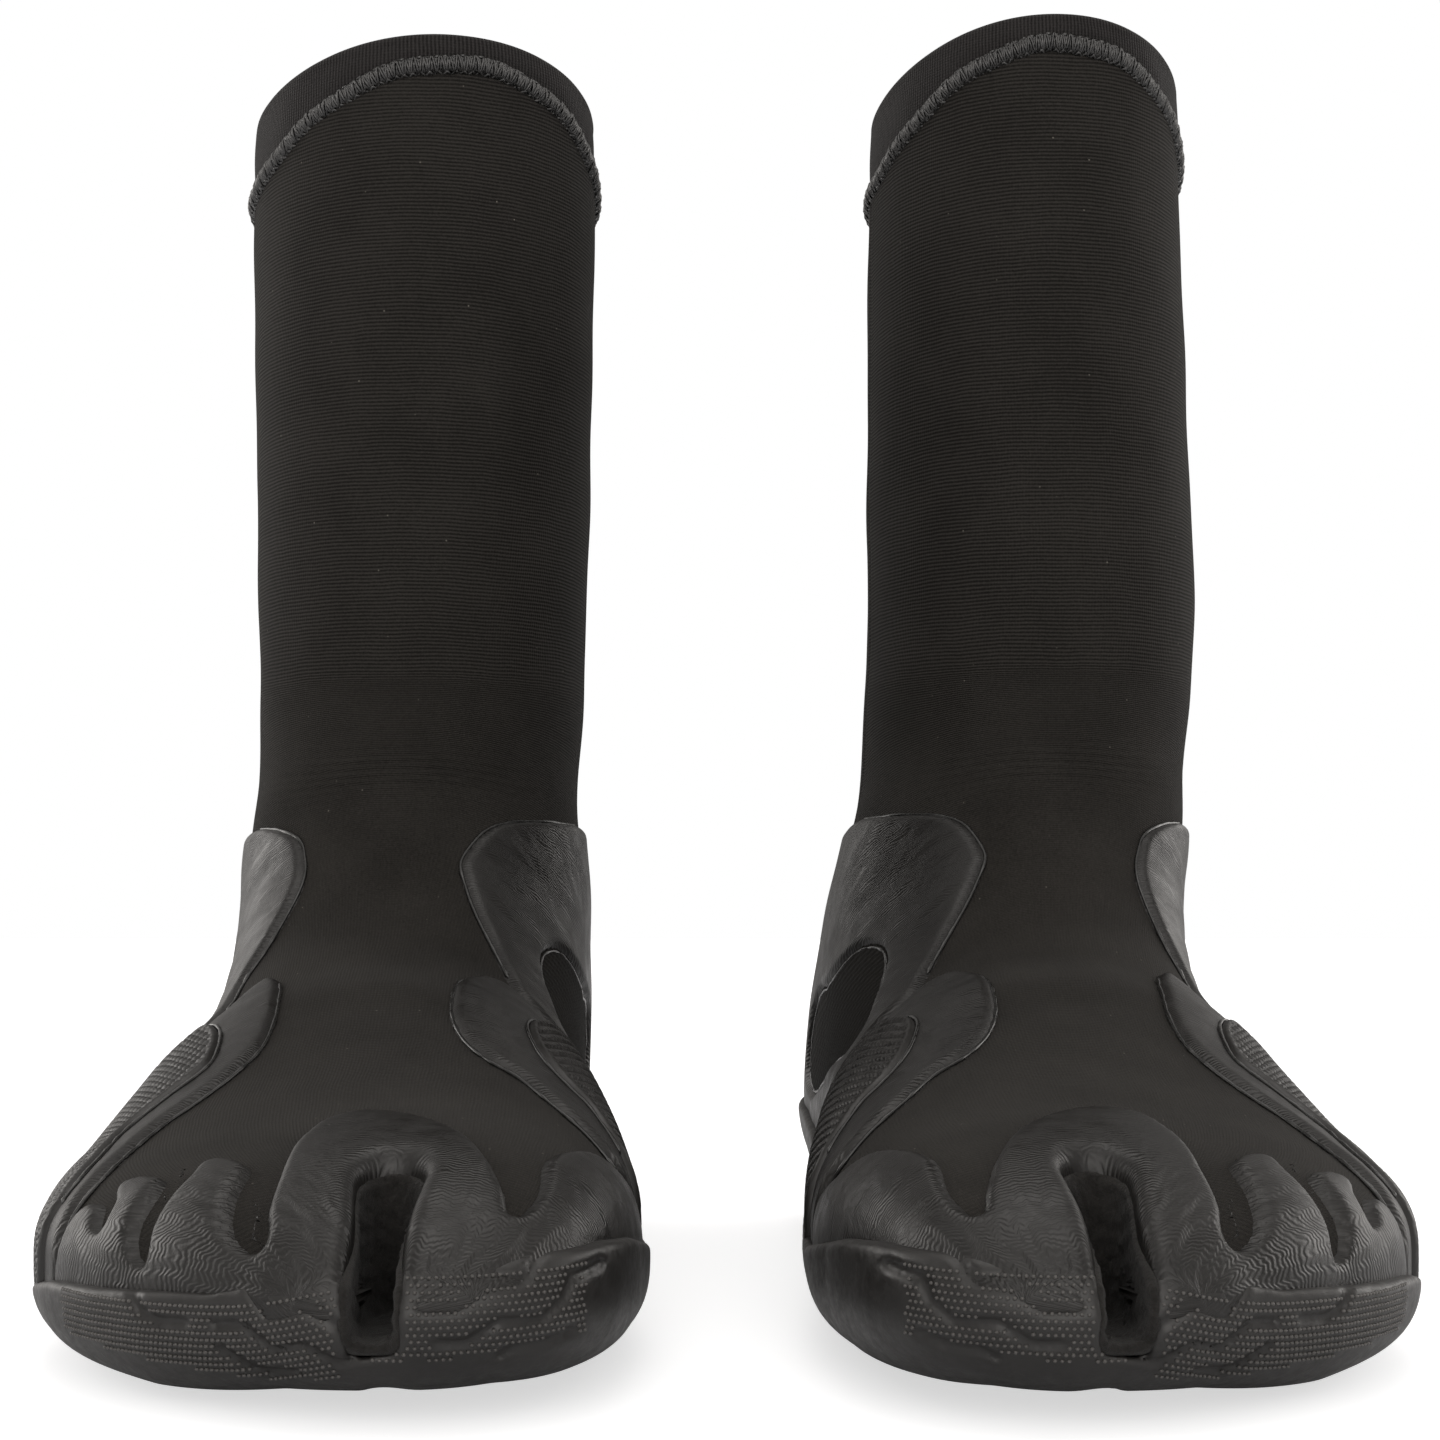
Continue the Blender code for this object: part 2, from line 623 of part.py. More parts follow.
def toe_cap(boot):
    """The scalloped rear edge runs from the little toe to the big toe; the outsole's edge is the front."""
    little_toe = [(-188, -0.46), (-188, -0.42), (-190, -0.385), (-195, -0.41), (-193, -0.36)]
    fourth_toe = [(-190, -0.335), (-192, -0.30), (-197, -0.29), (-205, -0.40), (-201, -0.285)]
    middle_toe = [(-195, -0.24), (-194, -0.20), (-198, -0.168), (-206, -0.19), (-214, -0.32)]
    arch = [
        (-216, -0.29), (-205, -0.15), (-190, -0.07), (-179, -0.015), (-176, 0.045), (-179, 0.107),
        (-188, 0.165), (-199, 0.222), (-206, 0.253), (-212, 0.295),
    ]
    big_toe = [(-211, 0.33), (-203, 0.312), (-193, 0.305), (-182, 0.328), (-170, 0.360), (-162, 0.41)]
    rear = [(at_reach(y), turn) for y, turn in little_toe + fourth_toe + middle_toe + arch + big_toe]
    side = [(at_reach(y), edge_turn(at_reach(y), 1, 1.2)) for y in (-162, -180, -196, -209, -219)]
    front = [(at_reach(-223.4), 0.0)]
    far = [(at_reach(y), -edge_turn(at_reach(y), -1, 1.2)) for y in (-219, -209, -196, -190)]
    return patch(boot, "toe_cap", rear + side + front + far, SKIN, "rubber")


def outsole(boot):
    """A cup that starts up the back of the heel and opens at its top edge all round."""
    start = at_angle(33)
    places = [start] + rings_between(start, math.inf)
    inner_edge = [(place, edge_turn(place, 1)) for place in places]
    outer_edge = [(place, 2 - edge_turn(place, -1)) for place in places]
    return patch(boot, "outsole", inner_edge + outer_edge[::-1], OUTSOLE, "sole", ground=True)


def slot_outline(grow):
    """Plan of the slot, open towards the toes, anticlockwise."""
    radius = SLOT_ROOT_RADIUS + grow
    half = SLOT_FRONT_HALF + grow
    arc = [math.pi * k / 8 for k in range(9)]
    root = [(SLOT_X + radius * math.cos(a), SLOT_ROOT_Y + radius * math.sin(a)) for a in arc]
    return [(SLOT_X - half, SLOT_OPEN_Y), (SLOT_X + half, SLOT_OPEN_Y)] + root


def slot_gusset(boot):
    """The lined wall of the slot: a trough inside the neoprene's outer face."""
    places, turns = spread(rings_between(at_reach(-180), math.inf), columns_between(-1, 1))
    points = on_layer(places, turns, -GAP)
    first, faces = welded(points, grid_faces(*places.shape))
    points = points[first]
    ends = dict(open_edges(faces))
    loop = [next(iter(ends))]
    while ends[loop[-1]] != loop[0]:
        loop.append(ends[loop[-1]])
    faces.append(loop[::-1])
    body = mesh_object(boot, "slot_gusset", points, faces, "slot")
    outer = prism(boot, "gusset_outer_cutter", slot_outline(GUSSET), SLOT_FLOOR - GUSSET, SLOT_TOP)
    inner = prism(boot, "gusset_inner_cutter", slot_outline(0), SLOT_FLOOR, SLOT_TOP + 5)
    boolean(body, outer, "INTERSECT")
    boolean(body, inner)
    return body


def footbed(boot):
    """A loose cupped insole on the lining."""
    places, turns = spread(rings_between(at_angle(38), at_reach(-212)), columns_between(0.8, 1.2, 2))
    return panel(boot, "footbed", places, turns, FOOTBED, "foam")


def build_boot(boot):
    slot_bottom = SLOT_FLOOR - GUSSET - GAP
    shell_slot = prism(boot, "shell_slot_cutter", slot_outline(GUSSET + GAP), slot_bottom, SLOT_TOP)
    skin_slot = prism(boot, "skin_slot_cutter", slot_outline(0), SLOT_FLOOR - 0.6, SLOT_TOP)
    for piece in (upper_front(boot), foot_panel(boot), lining_foot(boot), footbed(boot)):
        boolean(piece, shell_slot)
    for piece in (toe_cap(boot), outsole(boot)):
        boolean(piece, skin_slot)
    for make in (
        heel_panel, lining_shaft, collar_band, collar_tape, collar_overlock, heel_wrap, window_fabric,
        achilles_strip, wing_medial, grip_medial, wing_lateral, grip_lateral, slot_gusset,
    ):
        make(boot)


def main():
    for old in list(bpy.data.objects):
        bpy.data.objects.remove(old)
    for boot in BOOTS:
        build_boot(boot)


main()
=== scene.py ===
"""Looks for a pair of split-toe neoprene surf boots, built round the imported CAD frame.

Lengths are in millimetres in a boot's own frame, as in the CAD: x towards the inner side of the foot, y
towards the heel, z up, the ground at z = 0 and the leg's axis at y = 0. `place` runs down the leg, round the
ankle and out to the toes. `turn` runs round a section: 0 at the front or top, 0.5 half way round the inner
side, 1 at the back or bottom, and -0.5 or 1.5 half way round the outer side. Points become world metres only
in `stand`.
"""

import math

import bpy
import numpy as np
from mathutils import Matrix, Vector
from mathutils.bvhtree import BVHTree


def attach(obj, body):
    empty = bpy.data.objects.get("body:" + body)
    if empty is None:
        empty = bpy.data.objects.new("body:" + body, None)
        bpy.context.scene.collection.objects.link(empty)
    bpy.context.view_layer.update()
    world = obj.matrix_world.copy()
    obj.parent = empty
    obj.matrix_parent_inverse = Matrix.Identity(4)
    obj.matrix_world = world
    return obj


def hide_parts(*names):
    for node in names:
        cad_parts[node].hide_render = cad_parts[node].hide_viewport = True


MM = 0.001
TAU = 2 * math.pi

# How the two boots stand, as in the CAD.
BOOT_SPACING = 146.2
CENTRE_SHIFT = (1.12, 88.31)
RIM_DROP = 6.5
BOOTS = {
    # side of +x, toe-out and turn of the collar in radians, inward shift of the foot, narrowing of the leg,
    # height factor
    "right": (1, 0.0, math.radians(17), 0.0, 0.0, 1.0),
    "left": (-1, math.radians(5), math.radians(1), 14.6, 0.10, 1.015),
}

# The last, as in the CAD.
PIVOT_Y = -95.0
PIVOT_Z = 130.0
FAN_RADIUS = 100.0
FAN_LENGTH = FAN_RADIUS * math.pi / 2
RIM_HEIGHT = 273.0
SEAM_SIDE = 247.0
SEAM_RISE = 19.0
SEAM_BACK_DROP = 4.0
TOE_ROUNDING = 62.0
GIRTH = 130.0
ANGLES_IN_HALF = 120
TURNS_IN_HALF = 160

# The slot beside the big toe, in plan.
SLOT_X = 20.0
SLOT_ROOT_Y = -206.0
SLOT_ROOT_RADIUS = 5.2
SLOT_FRONT_HALF = 3.8
SLOT_FLOOR = 13.0
SLOT_TAPER = 14.0

# How far each layer's outer face stands off the neoprene's.
SKIN_THICK = 1.8
GRIP_THICK = 3.0
SOLE_THICK = 3.4
SHELL_INSIDE = -3.7
LINING_LAYERS = (-3.9, -5.4)

# An overlay's sheet runs a little past its outline, and ends inside the neoprene.
OVERLAY_MARGIN = 3.0
OVERLAY_SKIRT = 2.2
OVERLAY_LOWEST = -1.3
OVERLAY_INSIDE = -1.7

CORNERS = [(i, j, k) for i in (0, 1) for j in (0, 1) for k in (0, 1)]
COARSE_STEP = 3.2


def at_height(z):
    return PIVOT_Z - z


def at_angle(degrees):
    return FAN_RADIUS * math.radians(degrees)


def at_reach(y):
    return FAN_LENGTH + PIVOT_Y - y


def up_leg(*spots):
    """Outline points on the leg, each given as its height and turn."""
    return [(at_height(z), turn) for z, turn in spots]


def round_ankle(*spots):
    """Outline points round the ankle, each given as its degrees of bend and turn."""
    return [(at_angle(degrees), turn) for degrees, turn in spots]


def along_foot(*spots):
    """Outline points along the foot, each given as its y and turn."""
    return [(at_reach(y), turn) for y, turn in spots]


STATIONS = np.array((
    (at_height(290), 45.0, 145.0, 95.0, 40.0, 40.0, 2.1, 2.1, 0.0),
    (at_height(273), 45.0, 145.0, 95.0, 40.0, 40.0, 2.1, 2.1, 0.0),
    (at_height(230), 44.5, 145.0, 95.0, 40.5, 40.5, 2.1, 2.1, 0.0),
    (at_height(190), 46.0, 143.0, 95.0, 40.0, 40.0, 2.1, 2.1, 0.0),
    (at_height(150), 47.5, 141.0, 94.0, 39.0, 39.0, 2.1, 2.1, 0.0),
    (at_angle(0), 48.0, 140.5, 94.0, 38.5, 38.5, 2.1, 2.1, 0.0),
    (at_angle(15), 49.0, 146.0, 95.0, 37.0, 38.5, 2.1, 2.1, 0.0),
    (at_angle(28), 51.0, 166.5, 100.0, 38.5, 40.0, 2.1, 2.4, 0.0),
    (at_angle(36), 53.0, 181.0, 104.0, 38.5, 40.0, 2.1, 2.8, 0.0),
    (at_angle(41), 54.5, 187.0, 106.0, 38.5, 40.0, 2.1, 3.0, 0.0),
    (at_angle(46), 56.0, 174.5, 106.0, 38.5, 40.0, 2.1, 3.2, 0.0),
    (at_angle(55), 59.0, 154.5, 105.0, 39.0, 40.5, 2.1, 3.6, 0.0),
    (at_angle(66), 61.5, 138.5, 104.0, 41.0, 41.5, 2.1, 3.8, 0.0),
    (at_angle(78), 63.5, 129.3, 104.0, 44.0, 43.5, 2.1, 3.8, 0.0),
    (at_reach(-95), 66.0, 126.5, 105.0, 47.5, 45.5, 2.1, 3.8, 1.0),
    (at_reach(-112), 72.0, 126.5, 106.0, 50.5, 46.5, 2.1, 3.8, 2.0),
    (at_reach(-130), 78.0, 126.7, 108.0, 53.0, 47.0, 2.1, 3.8, 3.0),
    (at_reach(-148), 83.0, 126.8, 110.0, 55.0, 47.0, 2.15, 3.8, 4.0),
    (at_reach(-165), 86.5, 126.8, 111.0, 56.0, 44.5, 2.3, 3.8, 4.0),
    (at_reach(-182), 89.0, 126.5, 111.0, 55.0, 38.5, 2.5, 3.6, 4.0),
    (at_reach(-198), 92.0, 125.5, 110.0, 52.5, 27.5, 2.6, 3.2, 3.0),
    (at_reach(-210), 96.0, 124.0, 110.0, 49.0, 14.5, 2.6, 2.8, 2.0),
    (at_reach(-219), 101.0, 121.5, 110.0, 43.0, 1.5, 2.4, 2.4, 0.0),
    (at_reach(-225), 107.0, 117.0, 111.0, 34.5, -9.0, 2.0, 2.0, 0.0),
    (at_reach(-227), 112.0, 112.6, 112.3, 24.0, -19.0, 2.0, 2.0, 0.0),
))
TOE_END = at_reach(-227)

# Height of the outsole's top edge: place, inner side, outer side.
SOLE_EDGE = np.array((
    (at_angle(25), 33.0, 33.0),
    (at_angle(31), 33.0, 33.0),
    (at_angle(41), 30.0, 30.0),
    (at_angle(60), 26.0, 22.0),
    (at_reach(-95), 22.0, 14.0),
    (at_reach(-130), 18.0, 9.0),
    (at_reach(-150), 18.0, 9.5),
    (at_reach(-170), 21.0, 14.0),
    (at_reach(-190), 24.5, 17.5),
    (at_reach(-205), 26.0, 18.5),
    (at_reach(-219), 26.0, 20.0),
    (at_reach(-227), 25.0, 24.0),
))

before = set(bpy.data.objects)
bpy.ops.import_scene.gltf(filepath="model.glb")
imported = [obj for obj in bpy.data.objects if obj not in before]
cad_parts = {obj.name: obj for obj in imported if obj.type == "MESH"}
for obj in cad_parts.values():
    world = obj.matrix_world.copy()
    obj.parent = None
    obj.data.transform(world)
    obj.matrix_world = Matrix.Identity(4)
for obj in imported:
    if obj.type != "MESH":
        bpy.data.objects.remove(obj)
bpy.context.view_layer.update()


# --- the last ------------------------------------------------------------------------------------------


def smooth_value(knots, values, places):
    """A curve through the stations that never swells between two of them."""
    steps = np.diff(knots)
    slopes = np.diff(values) / steps
    tangents = np.zeros(len(knots))
    tangents[0] = slopes[0]
    tangents[-1] = slopes[-1]
    for i in range(1, len(knots) - 1):
        if slopes[i - 1] * slopes[i] > 0:
            before = 2 * steps[i] + steps[i - 1]
            after = steps[i] + 2 * steps[i - 1]
            tangents[i] = (before + after) / (before / slopes[i - 1] + after / slopes[i])
    cell = np.clip(np.searchsorted(knots, places) - 1, 0, len(knots) - 2)
    width = steps[cell]
    f = (places - knots[cell]) / width
    start = (1 + 2 * f) * (1 - f) ** 2 * values[cell] + f * (1 - f) ** 2 * width * tangents[cell]
    end = f * f * (3 - 2 * f) * values[cell + 1] + f * f * (f - 1) * width * tangents[cell + 1]
    return start + end


FINE_PLACES = np.arange(STATIONS[0, 0], TOE_END + 0.2, 0.25)
FINE_COLUMNS = [
    smooth_value(STATIONS[:, 0], column, np.minimum(FINE_PLACES, TOE_END)) for column in STATIONS.T[1:]
]


def columns_at(place):
    return [np.interp(place, FINE_PLACES, column) for column in FINE_COLUMNS]


def section_point(place, angle, depth):
    """The point at `angle` round the section, `depth` outwards. All three are arrays of one shape."""
    stop = np.where(depth < 0, at_reach(-223.0) + depth, TOE_END)
    shrink = np.clip((TOE_END - place) / np.maximum(TOE_END - stop, 1e-6), 0, 1)
    shrink = np.where(place > stop, shrink, 1.0)
    place = np.minimum(place, stop)
    front, back, widest, inner, outer, n_front, n_back, tilt = columns_at(place)
    c = np.cos(angle)
    s = np.sin(angle)
    power = 2 / np.where(c >= 0, n_front, n_back)
    along = np.sign(c) * np.abs(c) ** power
    across = np.sign(s) * np.abs(s) ** power
    rise = widest - front + depth + tilt * across
    fall = back - widest + depth
    radius = widest - np.where(c >= 0, rise, fall) * along * shrink
    x = (inner - outer) / 2 + ((inner + outer) / 2 + depth) * across * shrink
    bend = np.clip(place / FAN_RADIUS, 0, math.pi / 2)
    closing = np.clip((place - TOE_END + TOE_ROUNDING) / TOE_ROUNDING, 0, 1)
    y = PIVOT_Y - np.maximum(place - FAN_LENGTH, 0) + radius * np.cos(bend) - depth * closing**2
    z = PIVOT_Z - np.minimum(place, 0) - radius * np.sin(bend)
    return np.stack([x, y, z], -1)


def girth_tables():
    """For each side, place by place: the angle at even turns, and the turn at even angles."""
    places = np.arange(STATIONS[0, 0], TOE_END - 0.5, 1.0)
    angles = np.linspace(0, math.pi, ANGLES_IN_HALF + 1)
    turns = np.linspace(0, 1, TURNS_IN_HALF + 1)
    grid_place, grid_angle = np.meshgrid(places, angles, indexing="ij")
    tables = {}
    for side in (1, -1):
        line = section_point(grid_place, side * grid_angle, np.zeros_like(grid_place))
        lengths = np.cumsum(np.linalg.norm(np.diff(line, axis=1), axis=2), axis=1)
        lengths = np.hstack([np.zeros((len(places), 1)), lengths])
        half = lengths[:, -1:]
        to_angle = np.array([np.interp(turns, row, angles) for row in lengths / half])
        tables[side] = (to_angle, lengths / half, half[:, 0])
    return places, tables


TABLE_PLACES, TABLES = girth_tables()


def lookup(table, row, column):
    """Reads a table between its rows and columns."""
    row = np.clip(row, 0, table.shape[0] - 1.001)
    column = np.clip(column, 0, table.shape[1] - 1.001)
    i = row.astype(int)
    j = column.astype(int)
    f = row - i
    g = column - j
    near = table[i, j] * (1 - g) + table[i, j + 1] * g
    far = table[i + 1, j] * (1 - g) + table[i + 1, j + 1] * g
    return near * (1 - f) + far * f


def angle_of(place, turn):
    turn = (turn + 1) % 2 - 1
    row = place - TABLE_PLACES[0]
    column = np.abs(turn) * (TABLES[1][0].shape[1] - 1)
    inner = lookup(TABLES[1][0], row, column)
    outer = -lookup(TABLES[-1][0], row, column)
    return np.where(turn >= 0, inner, outer)


def turn_of(place, angle):
    row = place - TABLE_PLACES[0]
    column = np.abs(angle) / math.pi * (TABLES[1][1].shape[1] - 1)
    inner = lookup(TABLES[1][1], row, column)
    outer = -lookup(TABLES[-1][1], row, column)
    return np.where(angle >= 0, inner, outer)


def on_layer(place, turn, depth=0.0):
    place, turn, depth = np.broadcast_arrays(np.asarray(place, float), np.asarray(turn, float), depth)
    return section_point(place, angle_of(place, turn), np.asarray(depth, float))


def locate(points):
    """The place and turn nearest to each point."""
    x, y, z = points[..., 0], points[..., 1], points[..., 2]
    back = y - PIVOT_Y
    down = PIVOT_Z - z
    fan = FAN_RADIUS * np.arctan2(down, back)
    place = np.where(down < 0, down, np.where(back > 0, fan, FAN_LENGTH - back))
    radius = np.where(down < 0, back, np.where(back > 0, np.hypot(back, down), down))
    place = np.minimum(place, TOE_END)
    front, back_line, widest, inner, outer, n_front, n_back, tilt = columns_at(place)
    across = (x - (inner - outer) / 2) / ((inner + outer) / 2)
    rise = widest - front + tilt * np.clip(across, -1, 1)
    along = (widest - radius) / np.where(radius < widest, rise, back_line - widest)
    power = np.where(along >= 0, n_front, n_back) / 2
    angle = np.arctan2(
        np.sign(across) * np.abs(across) ** power, np.sign(along) * np.abs(along) ** power
    )
    return place, turn_of(place, angle), across


def edge_height(place, inward):
    """Height of the outsole's top edge. inward is -1 on the foot's outer side and 1 on its inner side."""
    share = eased(inward * 0.9 + 0.5)
    inner = np.interp(place, SOLE_EDGE[:, 0], SOLE_EDGE[:, 1])
    outer = np.interp(place, SOLE_EDGE[:, 0], SOLE_EDGE[:, 2])
    return outer + (inner - outer) * share


def edge_turn(place, side, clearance=0.0):
    """How far round the outsole's top edge lies at this place, on the inner (1) or outer (-1) side."""
    turns = np.linspace(0, 1, 161)
    heights = on_layer(np.full(161, place), side * turns)[:, 2]
    return float(np.interp(-(edge_height(place, side) + clearance), -heights, turns))


def seam_height(turn):
    wave = np.cos(np.pi * turn)
    return SEAM_SIDE + np.where(wave > 0, SEAM_RISE, -SEAM_BACK_DROP) * wave**2


def rim_height(turn):
    """Height of the collar's top edge, lower at the sides."""
    return RIM_HEIGHT - RIM_DROP * np.sin(np.pi * turn) ** 2


def eased(share):
    share = np.clip(share, 0, 1)
    return share * share * (3 - 2 * share)


def stand(points, boot):
    """Moves points from a boot's own frame to where it stands in the pair, in metres."""
    side, toe_out, collar_turn, inward, narrowing, tall = BOOTS[boot]
    x, y, z = np.asarray(points, float).T
    twist = collar_turn * np.clip((z - 140) / 120, 0, 1)
    x, y = x * np.cos(twist) - y * np.sin(twist), x * np.sin(twist) + y * np.cos(twist)
    x, y = x * math.cos(toe_out) + y * math.sin(toe_out), y * math.cos(toe_out) - x * math.sin(toe_out)
    x = x - narrowing * (x - 18) * eased((z - 120) / 130)
    x = x + inward * eased((150 - z) / 130)
    world = np.stack([side * (x - BOOT_SPACING / 2) + CENTRE_SHIFT[0], y + CENTRE_SHIFT[1], z * tall], -1)
    return world * MM


# --- meshes --------------------------------------------------------------------------------------------


def ripple(points, scale, seed=0):
    """A smooth wandering value between about -1 and 1, for hand-made unevenness."""
    rng = np.random.default_rng(seed)
    total = np.zeros(points.shape[:-1])
    for octave in range(5):
        direction = rng.normal(size=3)
        direction /= np.linalg.norm(direction)
        total += np.sin(points @ direction * TAU / scale * (1 + 0.37 * octave) + rng.uniform(0, TAU))
    return total / 3


def surface_ripple(places, turns, scale, seed):
    return ripple(np.stack([turns * GIRTH, places, np.zeros_like(places)], -1), scale, seed)


def make_object(boot, name, points, faces, material, slot, nodes=(), grain=None, smooth=True):
    """The named mesh of one boot, riding on it. The left boot is mirrored, so its faces are turned round."""
    faces = np.asarray(faces, np.int64)
    if BOOTS[boot][0] < 0:
        faces = faces[:, ::-1]
    mesh = bpy.data.meshes.new(f"{boot}_{name}")
    sides = faces.shape[1]
    mesh.vertices.add(len(points))
    mesh.vertices.foreach_set("co", stand(points, boot).astype(np.float32).ravel())
    mesh.loops.add(faces.size)
    mesh.loops.foreach_set("vertex_index", faces.astype(np.int32).ravel())
    mesh.polygons.add(len(faces))
    mesh.polygons.foreach_set("loop_start", np.arange(0, faces.size, sides, dtype=np.int32))
    mesh.update(calc_edges=True)
    if grain is None:
        place, turn, _ = locate(points)
        grain = np.stack([turn * GIRTH, place], -1)
    corners = grain[faces]
    first = corners[:, :1, 0]
    corners[:, :, 0] += np.round((first - corners[:, :, 0]) / (2 * GIRTH)) * 2 * GIRTH
    layer = mesh.uv_layers.new(name="grain")
    layer.data.foreach_set("uv", (corners / 100).astype(np.float32).ravel())
    mesh.polygons.foreach_set("use_smooth", np.full(len(faces), smooth))
    mesh.materials.append(material)
    made = bpy.data.objects.new(f"{boot}_{name}", mesh)
    bpy.context.scene.collection.objects.link(made)
    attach(made, f"{boot}_boot")
    if nodes:
        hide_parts(*[f"{boot}_{node}" for node in nodes])
    return made


def border(quads):
    """The open edges of a sheet of quads, in the direction its faces run."""
    edges = np.concatenate([quads[:, [k, (k + 1) % 4]] for k in range(4)])
    count = int(quads.max()) + 1
    forward = edges[:, 0] * count + edges[:, 1]
    backward = edges[:, 1] * count + edges[:, 0]
    return edges[~np.isin(forward, backward)]


def closed_slab(outer, inner, quads):
    """One closed solid from a sheet and its copy further in: (points, quads, sheet index of each point)."""
    used = np.unique(quads)
    renumber = np.zeros(len(outer), np.int64)
    renumber[used] = np.arange(len(used))
    quads = renumber[quads]
    count = len(used)
    edges = border(quads)
    rim = np.stack([edges[:, 1], edges[:, 0], edges[:, 0] + count, edges[:, 1] + count], -1)
    points = np.vstack([outer[used], inner[used]])
    faces = np.vstack([quads, quads[:, ::-1] + count, rim])
    return points, faces, np.concatenate([used, used])


def grid_quads(rows, columns, closed=False):
    last = columns if closed else columns - 1
    i, j = np.meshgrid(np.arange(rows - 1), np.arange(last), indexing="ij")
    a = (i * columns + j).ravel()
    b = (i * columns + (j + 1) % columns).ravel()
    return np.stack([a, a + columns, b + columns, b], -1)


def sheet(boot, name, places, turns, outer, inner, material, slot, nodes=(), closed=False, keep=None):
    """A closed slab over a grid of places and turns, between two layers (numbers or grids)."""
    rows, columns = places.shape
    quads = grid_quads(rows, columns, closed)
    top = on_layer(places, turns, outer).reshape(-1, 3)
    under = on_layer(places, turns, inner).reshape(-1, 3)
    if keep is not None:
        quads = quads[keep.ravel()[quads].all(axis=1)]
    points, faces, used = closed_slab(top, under, quads)
    grain = np.stack([turns.ravel() * GIRTH, places.ravel()], -1)[used]
    return make_object(boot, name, points, faces, material, slot, nodes, grain)


def smooth_ring(outline, step=0.7):
    """A smooth closed curve through an outline of (place, turn) points, as many points as `step` asks for."""
    ring = np.array(outline, float) * (1, GIRTH)
    before, after, next_after = (np.roll(ring, shift, axis=0) for shift in (1, -1, -2))
    points = []
    for p0, p1, p2, p3 in zip(before, ring, after, next_after):
        reach = np.linalg.norm(p2 - p1)
        start = (p2 - p0) / (np.linalg.norm(p2 - p1) + np.linalg.norm(p1 - p0)) * reach
        end = (p3 - p1) / (np.linalg.norm(p3 - p2) + np.linalg.norm(p2 - p1)) * reach
        f = np.arange(max(2, int(reach / step)))[:, None] / max(2, int(reach / step))
        points.append(
            (2 * f**3 - 3 * f**2 + 1) * p1 + (f**3 - 2 * f**2 + f) * start
            + (3 * f**2 - 2 * f**3) * p2 + (f**3 - f**2) * end
        )
    return np.vstack(points) / (1, GIRTH)


def inside(ring, places, turns):
    """Which points lie within a closed ring of (place, turn) points."""
    found = np.zeros(places.shape, bool)
    for (x0, y0), (x1, y1) in zip(ring, np.roll(ring, -1, axis=0)):
        if y0 == y1:
            continue
        crosses = (y0 > turns) != (y1 > turns)
        found ^= crosses & (places < x0 + (turns - y0) * (x1 - x0) / (y1 - y0))
    return found


def distance_to_line(points, line, closed=True):
    """Distance of each point to a polyline in space."""
    ends = np.roll(line, -1, axis=0) if closed else line[1:]
    starts = line if closed else line[:-1]
    best = np.full(len(points), 1e9)
    for start, end in zip(starts, ends):
        along = end - start
        offset = points - start
        t = np.clip(offset @ along / max(along @ along, 1e-9), 0, 1)
        best = np.minimum(best, ((offset - t[:, None] * along) ** 2).sum(axis=1))
    return np.sqrt(best)


def depth_in(ring, places, turns):
    """How far inside a ring each point of the last's surface lies, negative outside."""
    line = on_layer(ring[:, 0], ring[:, 1])
    points = on_layer(places, turns).reshape(-1, 3)
    gap = distance_to_line(points, line).reshape(places.shape)
    return np.where(inside(ring, places, turns), gap, -gap)


def rounded_edge(gap, thick, width):
    """Height of a moulded skin: a rounded edge that dives under the neoprene outside its outline."""
    t = np.clip(gap / width, 0, 1)
    return np.where(gap > 0, thick * (1 - (1 - t) ** 2) ** 0.75, 1.1 * gap)


def overlay(
    boot, name, outline, thick, material, slot, nodes, hole=None, width=1.7, step=0.9, relief=None
):
    """A moulded skin over the neoprene, cut to a smooth outline, with an optional hole and surface relief."""
    ring = smooth_ring(outline)
    low = ring.min(axis=0) - (OVERLAY_MARGIN, OVERLAY_MARGIN / GIRTH)
    high = ring.max(axis=0) + (OVERLAY_MARGIN, OVERLAY_MARGIN / GIRTH)
    high[0] = min(high[0], TOE_END - 1)
    places, turns = np.meshgrid(
        np.arange(low[0], high[0], step), np.arange(low[1], high[1], step / GIRTH), indexing="ij"
    )
    gap = depth_in(ring, places, turns)
    if hole is not None:
        gap = np.minimum(gap, -depth_in(smooth_ring(hole), places, turns))
    height = rounded_edge(gap, thick, width)
    if relief:
        height = height + relief(places, turns, gap)
    height = np.maximum(height, OVERLAY_LOWEST)
    keep = gap > -OVERLAY_SKIRT
    return sheet(boot, name, places, turns, height, OVERLAY_INSIDE, material, slot, nodes, keep=keep)


